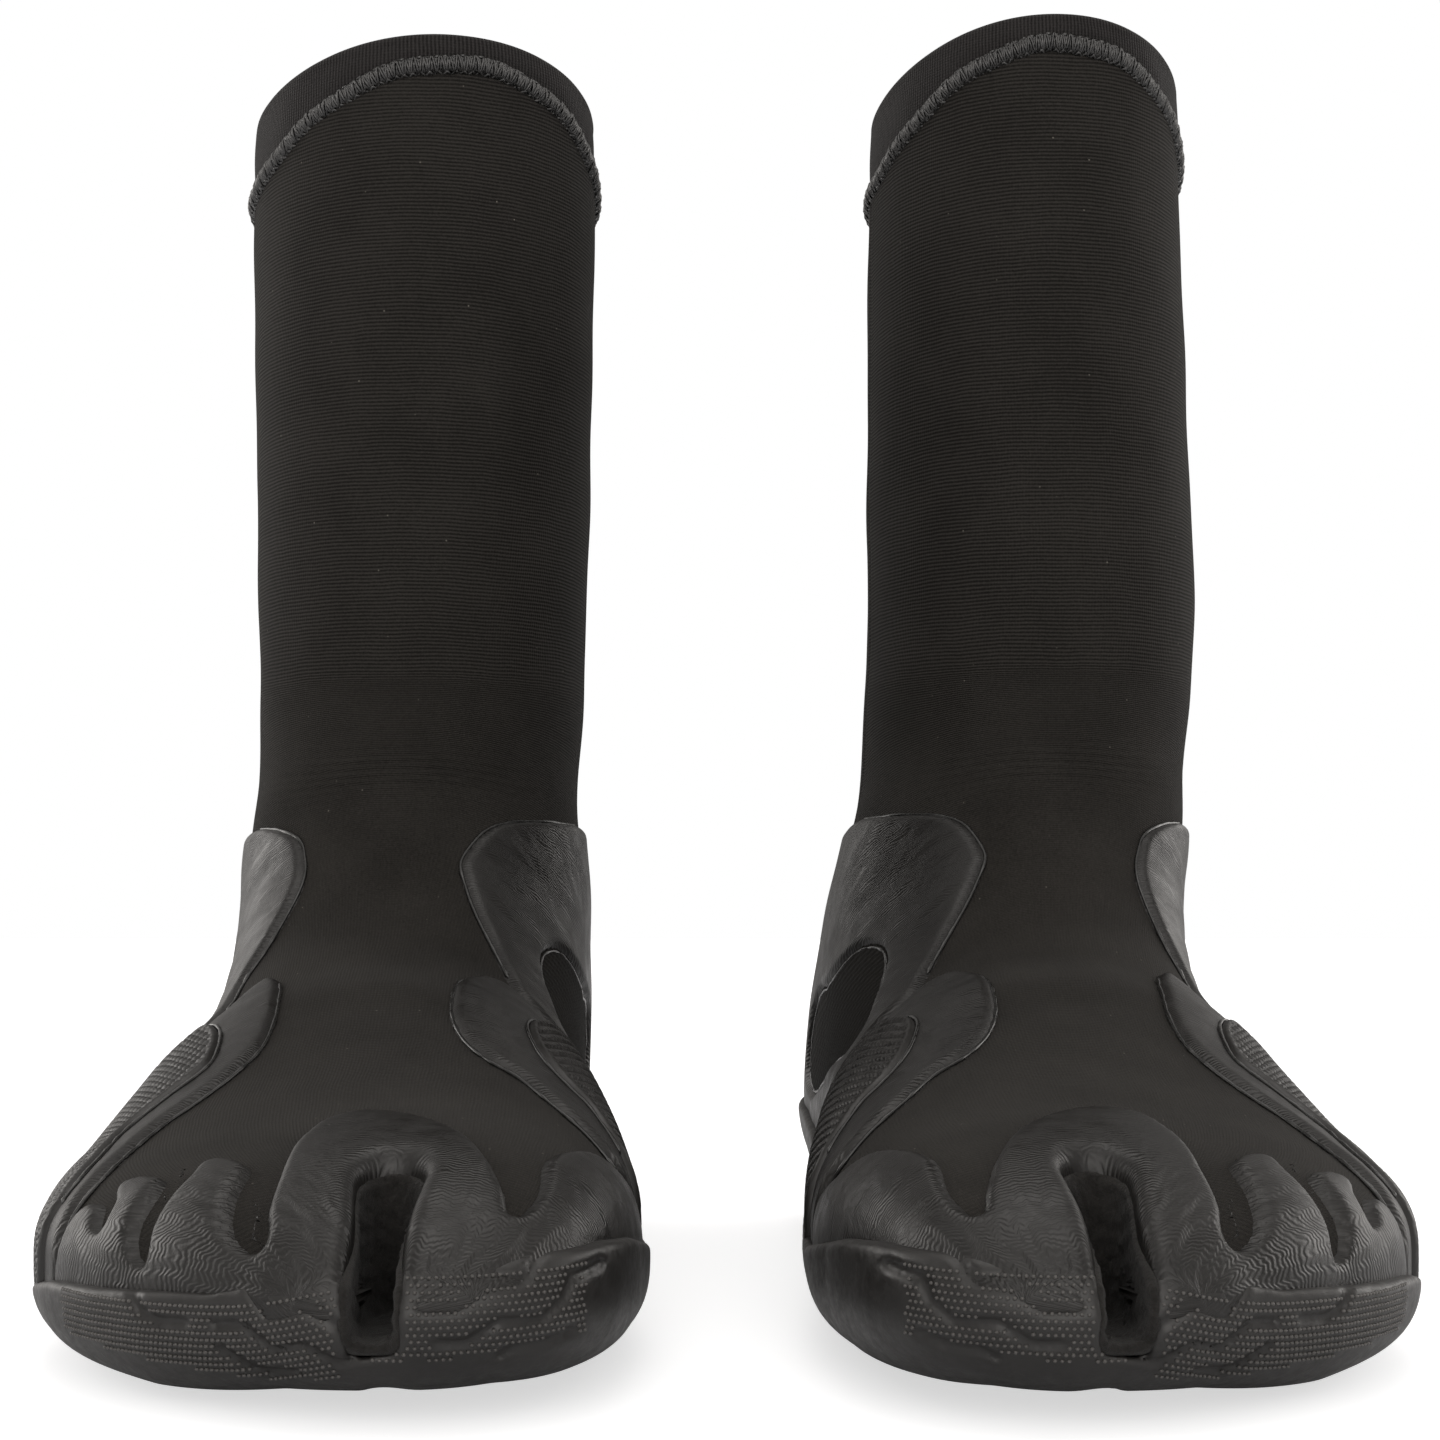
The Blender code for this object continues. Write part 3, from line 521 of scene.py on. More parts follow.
def tube(path, normals, radius, sides=6, closed=True):
    """A tube along a path, with its ends capped by small cones: (points, quads)."""
    path = np.asarray(path, float)
    if closed:
        tangent = np.roll(path, -1, axis=0) - np.roll(path, 1, axis=0)
    else:
        tangent = np.gradient(path, axis=0)
    tangent /= np.linalg.norm(tangent, axis=1)[:, None]
    side = np.cross(tangent, normals)
    side /= np.linalg.norm(side, axis=1)[:, None]
    up = np.cross(side, tangent)
    radius = np.broadcast_to(radius, len(path)).copy()
    if not closed:
        radius[[0, -1]] *= 0.05
    angles = np.arange(sides) / sides * TAU
    c = np.cos(angles)[None, :, None]
    s = np.sin(angles)[None, :, None]
    ring = radius[:, None, None] * (c * up[:, None] + s * side[:, None])
    points = (path[:, None] + ring).reshape(-1, 3)
    count = len(path)
    rows = np.arange(count if closed else count - 1)
    i, k = np.meshgrid(rows, np.arange(sides), indexing="ij")
    a = i * sides + k
    b = i * sides + (k + 1) % sides
    c = (i + 1) % count * sides + (k + 1) % sides
    d = (i + 1) % count * sides + k
    quads = np.stack([a, b, c, d], -1).reshape(-1, 4)
    if not closed:
        for start, flip in ((0, False), ((count - 1) * sides, True)):
            for k in range(1, sides - 1, 2):
                cap = [start, start + k + 2 if k + 2 < sides else start, start + k + 1, start + k]
                if cap[1] == cap[0]:
                    continue
                quads = np.vstack([quads, cap[::-1] if flip else cap])
    return points, quads


def glue_line(boot, m, name, outline, depth, radius, seed, closed=False):
    """A line of cured glue along an outline."""
    ring = smooth_ring(outline, 0.9) if closed else open_curve(outline, 0.9)
    path = on_layer(ring[:, 0], ring[:, 1], depth)
    normals = on_layer(ring[:, 0], ring[:, 1], depth + 1.0) - path
    wave = 0.25
    size = radius * (1 + wave * ripple(path, 9.0, seed) + 0.6 * wave * ripple(path, 3.1, seed + 1))
    points, quads = tube(path, normals, size, closed=closed)
    make_object(boot, name, points, quads, m["glue"], "rubber")


def open_curve(points, step):
    """A smooth open curve through (place, turn) points."""
    points = np.array(points, float) * (1, GIRTH)
    padded = np.vstack([2 * points[0] - points[1], points, 2 * points[-1] - points[-2]])
    found = []
    for p0, p1, p2, p3 in zip(padded, padded[1:], padded[2:], padded[3:]):
        count = max(2, int(np.linalg.norm(p2 - p1) / step))
        f = np.arange(count)[:, None] / count
        bend = (2 * p0 - 5 * p1 + 4 * p2 - p3) * f**2
        found.append(0.5 * (2 * p1 + (p2 - p0) * f + bend + (3 * p1 - p0 - 3 * p2 + p3) * f**3))
    found.append(points[-1:])
    return np.vstack(found) / (1, GIRTH)


# --- solids from fields --------------------------------------------------------------------------------


def surface_nets(field, axes):
    """The zero surface of a field sampled on three axes, negative inside: (points, quads)."""
    low = field < 0
    shape = [n - 1 for n in field.shape]

    def shifted(array, corner):
        return array[tuple(slice(c, c + n) for c, n in zip(corner, shape))]

    count = sum(shifted(low, corner).astype(np.int8) for corner in CORNERS)
    cells = np.argwhere((count > 0) & (count < 8))
    index = np.full(shape, -1, np.int64)
    index[tuple(cells.T)] = np.arange(len(cells))
    values = {c: field[tuple((cells + c).T)] for c in CORNERS}
    total = np.zeros((len(cells), 3))
    hits = np.zeros(len(cells))
    for a in CORNERS:
        for axis in range(3):
            if a[axis]:
                continue
            b = tuple(1 if k == axis else a[k] for k in range(3))
            va, vb = values[a], values[b]
            cut = (va < 0) != (vb < 0)
            t = np.where(cut, va / np.where(cut, va - vb, 1), 0)
            spot = np.array(a, float)[None] + 0.0 * total
            spot[:, axis] = t
            total += np.where(cut[:, None], spot, 0)
            hits += cut
    local = total / hits[:, None]
    points = np.empty_like(local)
    for k in range(3):
        here = axes[k][cells[:, k]]
        points[:, k] = here + local[:, k] * (axes[k][cells[:, k] + 1] - here)
    quads = []
    for axis in range(3):
        u, v = (axis + 1) % 3, (axis + 2) % 3
        near = [slice(None)] * 3
        far = [slice(None)] * 3
        near[axis] = slice(0, -1)
        far[axis] = slice(1, None)
        first, second = low[tuple(near)], low[tuple(far)]
        inner = [slice(None)] * 3
        inner[u] = slice(1, -1)
        inner[v] = slice(1, -1)
        cut = np.zeros_like(first)
        cut[tuple(inner)] = (first != second)[tuple(inner)]
        at = np.argwhere(cut)
        rising = first[tuple(at.T)]
        around = []
        for du, dv in ((-1, -1), (0, -1), (0, 0), (-1, 0)):
            cell = at.copy()
            cell[:, u] += du
            cell[:, v] += dv
            around.append(index[tuple(cell.T)])
        quad = np.stack(around, -1)
        quad[~rising] = quad[~rising][:, ::-1]
        quads.append(quad)
    return points, np.vstack(quads)


def sample(field, axes, points):
    """Reads a field between its samples."""
    index = []
    share = []
    for k in range(3):
        cell = np.clip(np.searchsorted(axes[k], points[:, k]) - 1, 0, len(axes[k]) - 2)
        index.append(cell)
        share.append((points[:, k] - axes[k][cell]) / (axes[k][cell + 1] - axes[k][cell]))
    total = np.zeros(len(points))
    for corner in CORNERS:
        weight = 1.0
        for part, bit in zip(share, corner):
            weight = weight * (part if bit else 1 - part)
        total += weight * field[tuple(cell + bit for cell, bit in zip(index, corner))]
    return total


def settle(points, quads, field, axes, rounds=3):
    """Evens out a mesh and puts it back on the field's zero surface."""
    edges = np.concatenate([quads[:, [k, (k + 1) % 4]] for k in range(4)])
    degree = np.bincount(edges[:, 0], minlength=len(points))[:, None]
    slopes = np.gradient(field, *axes)
    for _ in range(rounds):
        near = np.stack([
            np.bincount(edges[:, 0], weights=points[edges[:, 1], k], minlength=len(points)) for k in range(3)
        ], -1)
        points = points + 0.5 * (near / np.maximum(degree, 1) - points)
        value = sample(field, axes, points)
        slope = np.stack([sample(s, axes, points) for s in slopes], -1)
        steep = np.maximum((slope**2).sum(axis=1), 0.05)
        points = points - np.clip(value / steep, -0.6, 0.6)[:, None] * slope
    return points


def last_tree():
    """The foot of the last as a tree for distance queries."""
    tip = TOE_END - 12
    places = np.concatenate([np.arange(at_angle(15), tip, 1.6), np.arange(tip, TOE_END + 0.01, 0.5)])
    turns = np.linspace(-1, 1, 180, endpoint=False)
    grid_place, grid_turn = np.meshgrid(places, turns, indexing="ij")
    points = on_layer(grid_place, grid_turn).reshape(-1, 3)
    quads = grid_quads(len(places), len(turns), closed=True)
    return BVHTree.FromPolygons([Vector(p) for p in points], [tuple(q) for q in quads.tolist()])


TREE = last_tree()


def tree_distance(points):
    """Signed distance to the last, negative inside."""
    found = np.empty(len(points))
    for i, point in enumerate(points.tolist()):
        spot = Vector(point)
        place, normal, _, gap = TREE.find_nearest(spot)
        found[i] = gap if (spot - place).dot(normal) > 0 else -gap
    return found


def resample(values, old, new, axis):
    cell = np.clip(np.searchsorted(old, new) - 1, 0, len(old) - 2)
    share = (new - old[cell]) / (old[cell + 1] - old[cell])
    shape = [1, 1, 1]
    shape[axis] = len(new)
    share = share.reshape(shape)
    return np.take(values, cell, axis) * (1 - share) + np.take(values, cell + 1, axis) * share


def last_field(axes, low, high):
    """Signed distance to the last over a grid, exact where it lies between low and high."""
    wide = [np.linspace(axis[0], axis[-1], int((axis[-1] - axis[0]) / COARSE_STEP) + 2) for axis in axes]
    grid = np.stack(np.meshgrid(*wide, indexing="ij"), -1)
    field = tree_distance(grid.reshape(-1, 3)).reshape(grid.shape[:3])
    for k in range(3):
        field = resample(field, wide[k], axes[k], k)
    band = np.argwhere((field > low) & (field < high))
    points = np.stack([axes[k][band[:, k]] for k in range(3)], -1)
    field[tuple(band.T)] = tree_distance(points)
    return field


def smooth_max(a, b, radius):
    """The larger of two fields, with the corner between them rounded."""
    h = np.maximum(radius - np.abs(a - b), 0) / radius
    return np.maximum(a, b) + h * h * radius / 4


def slot_plan(x, y):
    """Distance to the slot in plan, negative inside it."""
    behind = np.hypot(x - SLOT_X, y - SLOT_ROOT_Y) - SLOT_ROOT_RADIUS
    taper = eased((SLOT_ROOT_Y - y) / SLOT_TAPER)
    half = SLOT_ROOT_RADIUS + (SLOT_FRONT_HALF - SLOT_ROOT_RADIUS) * taper
    return np.where(y > SLOT_ROOT_Y, behind, np.abs(x - SLOT_X) - half)


def slot_field(x, y, z, floor=SLOT_FLOOR):
    return smooth_max(slot_plan(x, y), floor - z, 3.0)


def clear_of_slot(places, turns, depth, gap, low, front):
    """Which points of a layer lie clear of the slot: beyond `gap` from it, or below `low`, or behind `front`."""
    x, y, z = np.moveaxis(on_layer(places, turns, depth), -1, 0)
    return ~((slot_plan(x, y) < gap) & (z > low) & (y < front))


# --- materials -----------------------------------------------------------------------------------------


def add(tree, kind, inputs=None, **settings):
    """A node with its inputs set or linked. Returns the node."""
    made = tree.nodes.new("ShaderNode" + kind)
    for key, value in settings.items():
        setattr(made, key, value)
    for key, value in (inputs or {}).items():
        if isinstance(value, bpy.types.NodeSocket):
            tree.links.new(value, made.inputs[key])
        else:
            made.inputs[key].default_value = value
    return made


def maths(tree, operation, a, b=0.0):
    return add(tree, "Math", {0: a, 1: b}, operation=operation).outputs[0]


def weighed(tree, *parts):
    """A sum of values, each times its weight."""
    total = None
    for value, weight in parts:
        part = maths(tree, "MULTIPLY", value, weight)
        total = part if total is None else maths(tree, "ADD", total, part)
    return total


def new_material(name, roughness, specular=0.5, sheen=0.0, sheen_roughness=0.4, coat=0.0):
    """A material and its shader, with the values that are the same all over set on the shader."""
    made = bpy.data.materials.new(name)
    made.use_nodes = True
    tree = made.node_tree
    shader = tree.nodes["Principled BSDF"]
    shader.inputs["Roughness"].default_value = roughness
    shader.inputs["Specular IOR Level"].default_value = specular
    shader.inputs["Sheen Weight"].default_value = sheen
    shader.inputs["Sheen Roughness"].default_value = sheen_roughness
    shader.inputs["Coat Weight"].default_value = coat
    shader.inputs["Coat Roughness"].default_value = 0.35
    return made, tree, shader


def grain_mm(tree):
    """The surface's own coordinates in millimetres: x round the boot, y along it."""
    uv = add(tree, "UVMap", uv_map="grain").outputs[0]
    scaled = add(tree, "VectorMath", {0: uv, 1: (100, 100, 100)}, operation="MULTIPLY").outputs[0]
    split = add(tree, "SeparateXYZ", {0: scaled})
    return scaled, split.outputs[0], split.outputs[1]


def space_mm(tree):
    place = add(tree, "TexCoord").outputs["Object"]
    return add(tree, "VectorMath", {0: place, 1: (1000, 1000, 1000)}, operation="MULTIPLY").outputs[0]


def noise(tree, vector, size, detail=2.0, rough=0.5):
    made = add(tree, "TexNoise", {"Vector": vector, "Scale": 1 / size, "Detail": detail, "Roughness": rough})
    return made.outputs[0]


def ramp(tree, value, low, high, from_low=0.3, from_high=0.7):
    """A number mapped from one range to another."""
    made = add(tree, "MapRange", {"Value": value, 1: from_low, 2: from_high, 3: low, 4: high})
    return made.outputs[0]


def shade(tree, factor, dark, light):
    made = add(tree, "Mix", {0: factor}, data_type="RGBA")
    made.inputs[6].default_value = (*dark, 1)
    made.inputs[7].default_value = (*light, 1)
    return made.outputs[2]


def paint(tree, shader, tone, dark, light, *span):
    """Colours a shader from dark to light as the tone runs over its span."""
    colour = shade(tree, ramp(tree, tone, 0.0, 1.0, *span), dark, light)
    tree.links.new(colour, shader.inputs["Base Color"])


def bump(tree, shader, height, strength, distance):
    made = add(tree, "Bump", {"Height": height, "Strength": strength, "Distance": distance * MM})
    tree.links.new(made.outputs[0], shader.inputs["Normal"])


def stripes(tree, coordinate, pitch):
    """A wave between -1 and 1 along a coordinate."""
    return maths(tree, "SINE", maths(tree, "MULTIPLY", coordinate, TAU / pitch))


def knit(name, dark, light, along, pitch, roughness, sheen, lint=0.0):
    """Knitted jersey: fine ribs with a broken-up stitch across them, fuzz and a little lint."""
    made, tree, shader = new_material(name, roughness, 0.06, sheen, 0.45)
    _, round_mm, along_mm = grain_mm(tree)
    space = space_mm(tree)
    wander = ramp(tree, noise(tree, space, 14.0), -0.5, 0.5, 0.0, 1.0)
    lines = along_mm if along else round_mm
    cross = round_mm if along else along_mm
    ribs = stripes(tree, maths(tree, "ADD", lines, wander), pitch)
    ribs = maths(tree, "MULTIPLY", ribs, ramp(tree, along_mm, 1.0, 0.25, 25.0, 80.0))
    stitches = stripes(tree, maths(tree, "ADD", cross, wander), pitch * 0.8)
    fuzz = noise(tree, space, 0.5, 3.0, 0.7)
    bump(tree, shader, weighed(tree, (ribs, 0.6), (stitches, 0.25), (fuzz, 0.8)), 0.7, 0.14)
    blotch = noise(tree, space, 22.0, 3.0, 0.6)
    tone = weighed(tree, (blotch, 0.4), (ribs, 0.24), (fuzz, 0.7))
    colour = shade(tree, ramp(tree, tone, 0.0, 1.0, 0.3, 0.8), dark, light)
    if lint:
        specks = add(tree, "TexVoronoi", {"Vector": space, "Scale": 1 / 5.5, "Randomness": 1.0})
        speck = ramp(tree, specks.outputs["Distance"], 1.0, 0.0, 0.015, 0.045)
        speck = maths(tree, "MULTIPLY", speck, lint)
        mixed = add(tree, "Mix", {0: speck, 6: colour}, data_type="RGBA")
        mixed.inputs[7].default_value = (0.16, 0.15, 0.13, 1)
        colour = mixed.outputs[2]
    tree.links.new(colour, shader.inputs["Base Color"])
    return made


def contoured_rubber(name, dark, light, roughness):
    """Moulded rubber with a fine grain of wandering contour lines."""
    made, tree, shader = new_material(name, roughness, 0.42)
    vector, _, along_mm = grain_mm(tree)
    space = space_mm(tree)
    drift = ramp(tree, noise(tree, vector, 7.0, 1.0), -2.2, 2.2, 0.0, 1.0)
    wobble = ramp(tree, noise(tree, vector, 2.2, 1.0), -0.5, 0.5, 0.0, 1.0)
    level = maths(tree, "ADD", maths(tree, "ADD", along_mm, drift), wobble)
    lines = stripes(tree, level, 0.75)
    fine = noise(tree, space, 0.45, 3.0, 0.6)
    bump(tree, shader, weighed(tree, (lines, 0.5), (fine, 0.6)), 0.48, 0.14)
    blotch = noise(tree, space, 16.0, 4.0, 0.6)
    paint(tree, shader, weighed(tree, (blotch, 0.9), (lines, 0.05)), dark, light)
    rough = ramp(tree, noise(tree, space, 6.0, 3.0), roughness - 0.08, roughness + 0.1)
    tree.links.new(rough, shader.inputs["Roughness"])
    return made


def moulded_rubber(name, dark, light, roughness, size=0.7, strength=0.25, coat=0.0):
    """Plain moulded rubber: a fine matt grain, patches and scuffs."""
    made, tree, shader = new_material(name, roughness, 0.5, coat=coat)
    space = space_mm(tree)
    fine = noise(tree, space, size, 4.0, 0.65)
    bump(tree, shader, fine, strength, 0.15)
    blotch = noise(tree, space, 18.0, 4.0, 0.6)
    scuff = noise(tree, space, 2.4, 5.0, 0.75)
    paint(tree, shader, weighed(tree, (blotch, 0.65), (scuff, 0.35)), dark, light)
    tree.links.new(ramp(tree, scuff, roughness - 0.1, roughness + 0.12), shader.inputs["Roughness"])
    return made


def plush(name, dark, light, size=0.6, sheen=0.3):
    made, tree, shader = new_material(name, 0.95, 0.1, sheen, 0.6)
    space = space_mm(tree)
    fuzz = noise(tree, space, size, 5.0, 0.75)
    bump(tree, shader, fuzz, 0.8, 0.5)
    blotch = noise(tree, space, 9.0, 3.0, 0.6)
    paint(tree, shader, weighed(tree, (fuzz, 0.6), (blotch, 0.4)), dark, light, 0.35, 0.7)
    return made


def thread_material():
    made, tree, shader = new_material("overlock_thread", 0.30, 0.8)
    space = space_mm(tree)
    strand = noise(tree, space, 0.35, 2.0)
    bump(tree, shader, strand, 0.6, 0.15)
    paint(tree, shader, noise(tree, space, 1.6, 2.0), (0.004, 0.004, 0.004), (0.030, 0.029, 0.028))
    return made


def make_materials():
    return {
        "shell": knit(
            "shell_jersey", (0.0095, 0.0088, 0.0079), (0.031, 0.0288, 0.0262), True, 0.83, 0.85, 0.03, 0.8
        ),
        "collar": knit(
            "collar_jersey", (0.010, 0.0092, 0.0091), (0.031, 0.029, 0.0285), False, 0.80, 0.8, 0.05
        ),
        "window": knit(
            "window_jersey", (0.008, 0.0075, 0.007), (0.016, 0.015, 0.0135), True, 1.3, 0.8, 0.03
        ),
        "skin": contoured_rubber("contoured_rubber", (0.008, 0.0074, 0.0069), (0.0145, 0.0135, 0.0125), 0.40),
        "toe": contoured_rubber("toe_rubber", (0.008, 0.0074, 0.0069), (0.0145, 0.0135, 0.0125), 0.38),
        "grip": moulded_rubber("grip_rubber", (0.008, 0.0075, 0.007), (0.015, 0.014, 0.013), 0.40),
        "sole": moulded_rubber("outsole_rubber", (0.010, 0.0094, 0.0088), (0.018, 0.0168, 0.0158), 0.44),
        # The dots are painted several times lighter than the outsole's rubber: a painted highlight standing in
        # for the glints on the small raised dots.
        "dots": moulded_rubber("dot_rubber_painted_highlight", (0.055, 0.052, 0.049), (0.085, 0.081, 0.077), 0.55),
        "glue": moulded_rubber(
            "glue_line", (0.006, 0.006, 0.006), (0.014, 0.014, 0.013), 0.24, 1.1, 0.5, 0.3
        ),
        "thread": thread_material(),
        "slot": plush("slot_plush", (0.006, 0.0055, 0.005), (0.030, 0.028, 0.026), 0.6, 0.08),
        "lining": plush("plush_lining", (0.020, 0.020, 0.021), (0.055, 0.055, 0.057), 1.1, 0.3),
        "tape": knit("seam_tape", (0.014, 0.014, 0.014), (0.028, 0.028, 0.028), True, 0.7, 0.6, 0.1),
        "foam": plush("footbed_foam", (0.025, 0.025, 0.028), (0.050, 0.050, 0.055), 0.5, 0.1),
    }


# --- the pieces ----------------------------------------------------------------------------------------


def shell_relief(places, turns):
    """Ankle wrinkles, side seams and soft unevenness in the neoprene's outer face."""
    front = np.exp(-((turns / 0.20) ** 2))
    bow = places + 5.0 * (turns / 0.2) ** 2
    band = np.exp(-(((bow - 43.0) / 9.5) ** 2))
    crease = np.sin(TAU * bow / 3.1 + 1.2 * np.sin(turns * 21)) + 0.45 * np.sin(TAU * bow / 7.3 + 3 * turns)
    relief = 0.17 * band * front * crease
    behind = np.exp(-(((np.abs(turns) - 1) / 0.25) ** 2))
    relief += 0.30 * np.exp(-(((places + 20.0) / 22.0) ** 2)) * behind * np.sin(TAU * places / 15.0)
    relief += 0.22 * surface_ripple(places, turns, 46.0, 3) * np.clip((FAN_LENGTH + 60 - places) / 60, 0, 1)
    above_heel = np.clip((at_angle(20) - places) / 10, 0, 1)
    for side in (-0.5, 0.5):
        away = np.abs(turns - side) * GIRTH
        relief -= 0.55 * np.exp(-((away / 0.7) ** 2)) * above_heel
        relief += 0.18 * np.exp(-(((away - 1.7) / 0.9) ** 2)) * above_heel
    return relief


def shell(boot, m):
    turns = np.linspace(-1, 1, 176, endpoint=False)
    steady = np.concatenate([
        np.arange(-100, 24, 2.2), np.arange(24, 64, 0.62), np.arange(64, TOE_END - 40, 2.2),
        np.arange(TOE_END - 40, TOE_END - 0.6, 1.0),
    ])
    top = at_height(seam_height(turns))
    share = np.linspace(0, 1, 18, endpoint=False)[:, None]
    level = np.broadcast_to(steady[:, None], (len(steady), len(turns)))
    places = np.vstack([top * (1 - share) - 100 * share, level])
    grid = np.broadcast_to(turns, places.shape)
    outer = shell_relief(places, grid)
    keep = clear_of_slot(places, grid, 0.0, 2.0, 9, -190)
    sheet(
        boot, "neoprene_shell", places, grid, outer, SHELL_INSIDE, m["shell"], "neoprene",
        ("upper_front", "heel_panel", "foot_panel"), True, keep,
    )


def collar_band(boot, m):
    """The soft band above the seam, folded over into a rounded rim."""
    turns = np.linspace(-1, 1, 220, endpoint=False)
    seam = seam_height(turns)
    rim = rim_height(turns)
    angles = np.linspace(0, math.pi, 9)
    half = 1.75
    face = -0.2
    rows = []
    for f in np.linspace(0, 1, 16):
        height = seam + (rim - half - seam) * f
        swell = 0.35 * np.sin(np.pi * f) + 0.25 * surface_ripple(height, turns, 40.0, 11)
        rows.append((height, face + swell * np.sin(np.pi * f) ** 0.5))
    for a in angles[1:-1]:
        rows.append((rim - half + half * np.sin(a), face - half + half * np.cos(a)))
    for f in np.linspace(1, 0, 16):
        rows.append((seam - 1 + (rim - half - seam + 1) * f, np.full_like(turns, face - 2 * half)))
    points = np.vstack([on_layer(at_height(height), turns, depth) for height, depth in rows])
    count = len(turns)
    quads = grid_quads(len(rows), count, closed=True)[:, ::-1]
    last = (len(rows) - 1) * count
    j = np.arange(count)
    bottom = np.stack([j, (j + 1) % count, last + (j + 1) % count, last + j], -1)[:, ::-1]
    down = np.concatenate([at_height(height) for height, _ in rows])
    grain = np.stack([np.tile(turns * GIRTH, len(rows)), down], -1)
    faces = np.vstack([quads, bottom])
    make_object(boot, "collar_band_soft", points, faces, m["collar"], "collar", ("collar_band",), grain)


STITCHES = 150
# The threads round the seam: swing in degrees, how far ahead, distance out, radius and lean.
WINDINGS = (
    (78, 0.0, 1.90, 0.30, 0.0),
    (70, 0.27, 2.10, 0.28, 0.05),
    (74, 0.55, 1.80, 0.30, -0.08),
    (16, 0.1, 1.95, 0.34, 1.25),
    (18, 0.6, 1.95, 0.34, -1.2),
)


def overlock(boot, m):
    """The seam: a padded bead wound with loops of thread."""
    count = 1320
    turns = np.arange(count) / count * 2 - 1
    height = seam_height(turns) + 0.25 * np.sin(turns * 41)
    middle = on_layer(at_height(height), turns, -0.7)
    out = on_layer(at_height(height), turns, 0.3) - middle
    out /= np.linalg.norm(out, axis=1)[:, None]
    along = np.roll(middle, -1, axis=0) - np.roll(middle, 1, axis=0)
    along /= np.linalg.norm(along, axis=1)[:, None]
    across = np.cross(along, out)
    across *= np.sign(across[:, 2:3])
    pad, pad_quads = tube(middle[::4], out[::4], 1.50, 10)
    make_object(boot, "overlock_pad", pad, pad_quads, m["tape"], "thread", ("collar_overlock",))
    phase = np.arange(count) / count * STITCHES
    points = []
    quads = []
    for swing, ahead, size, radius, lean in WINDINGS:
        beat = (phase + ahead) % 1
        angle = math.radians(swing) * (1 - 4 * np.abs(beat - 0.5)) + lean
        uneven = 1 + 0.06 * np.sin(phase * 2.7 + ahead * 9)
        sway = np.cos(angle)[:, None] * out + np.sin(angle)[:, None] * across
        thread, thread_quads = tube(middle + size * uneven[:, None] * sway, out, radius)
        quads.append(thread_quads + len(thread) * len(points))
        points.append(thread)
    make_object(boot, "overlock_threads", np.vstack(points), np.vstack(quads), m["thread"], "thread")


def linings(boot, m):
    turns = np.linspace(-1, 1, 120, endpoint=False)
    share = np.linspace(0, 1, 50)[:, None]
    top = at_height(seam_height(turns) - 4)
    places = top * (1 - share) + (at_angle(60)) * share
    grid = np.broadcast_to(turns, places.shape)
    sheet(
        boot, "plush_lining_leg", places, grid, *LINING_LAYERS, m["lining"], "lining", ("lining_shaft",), True
    )
    places = np.linspace(at_angle(60.5), at_reach(-218), 60)[:, None] + 0 * turns
    grid = np.broadcast_to(turns, places.shape)
    keep = clear_of_slot(places, grid, -4.0, 4.5, 7, -185)
    sheet(
        boot, "plush_lining_foot", places, grid, *LINING_LAYERS, m["lining"], "lining", ("lining_foot",),
        True, keep,
    )
    share = np.linspace(0, 1, 9)[:, None]
    middle = at_height(seam_height(turns))
    places = middle - 6.0 + 13.0 * share
    grid = np.broadcast_to(turns, places.shape)
    inner = -5.5 - 0.35 * np.sin(np.pi * share) + 0 * places
    sheet(boot, "seam_tape_inside", places, grid, -4.6, inner, m["tape"], "lining", ("collar_tape",), True)


def footbed(boot, m):
    places = np.linspace(at_angle(38), at_reach(-206), 110)[:, None]
    turns = np.linspace(0.80, 1.20, 60)[None, :]
    places, turns = np.broadcast_arrays(places, turns)
    ring = round_ankle(
        (39, 1.0), (40, 0.90), (46, 0.835), (60, 0.83),
    ) + along_foot(
        (-110, 0.835), (-150, 0.825), (-185, 0.835), (-200, 0.87), (-204, 1.0), (-200, 1.12), (-185, 1.165),
        (-150, 1.17), (-110, 1.16),
    ) + round_ankle(
        (60, 1.165), (46, 1.165), (40, 1.10),
    )
    gap = depth_in(smooth_ring(ring, 2.0), places, turns)
    inner = -6.2 - np.clip(gap / 2.2, 0.12, 1) * 3.3
    keep = (gap > 0) & clear_of_slot(places, turns, -8.0, 5.0, -math.inf, -185)
    sheet(boot, "footbed_insole", places, turns, -5.6, inner, m["foam"], "foam", ("footbed",), keep=keep)


def window_outline(boot):
    if boot == "left":
        return round_ankle(
            (73, 0.363), (64, 0.300), (54, 0.268), (47, 0.300), (43, 0.375), (38, 0.500), (40, 0.575),
            (46, 0.600), (55, 0.515), (64, 0.435),
        )
    return round_ankle(
        (73, 0.363), (65, 0.298), (55, 0.264), (48, 0.292), (44, 0.375), (39, 0.490), (41, 0.565),
        (47, 0.590), (56, 0.505), (65, 0.425),
    )


def grown(outline, distance):
    points = np.array(outline) * (1, GIRTH)
    away = points - points.mean(axis=0)
    points = points + away / np.linalg.norm(away, axis=1)[:, None] * distance
    return [tuple(p) for p in points / (1, GIRTH)]


def under_sole(place, side):
    """A point tucked below the outsole's edge; on the outer side its turn is counted on past the back."""
    turn = edge_turn(place, side, -4.0)
    return (place, turn if side > 0 else 2 - turn)


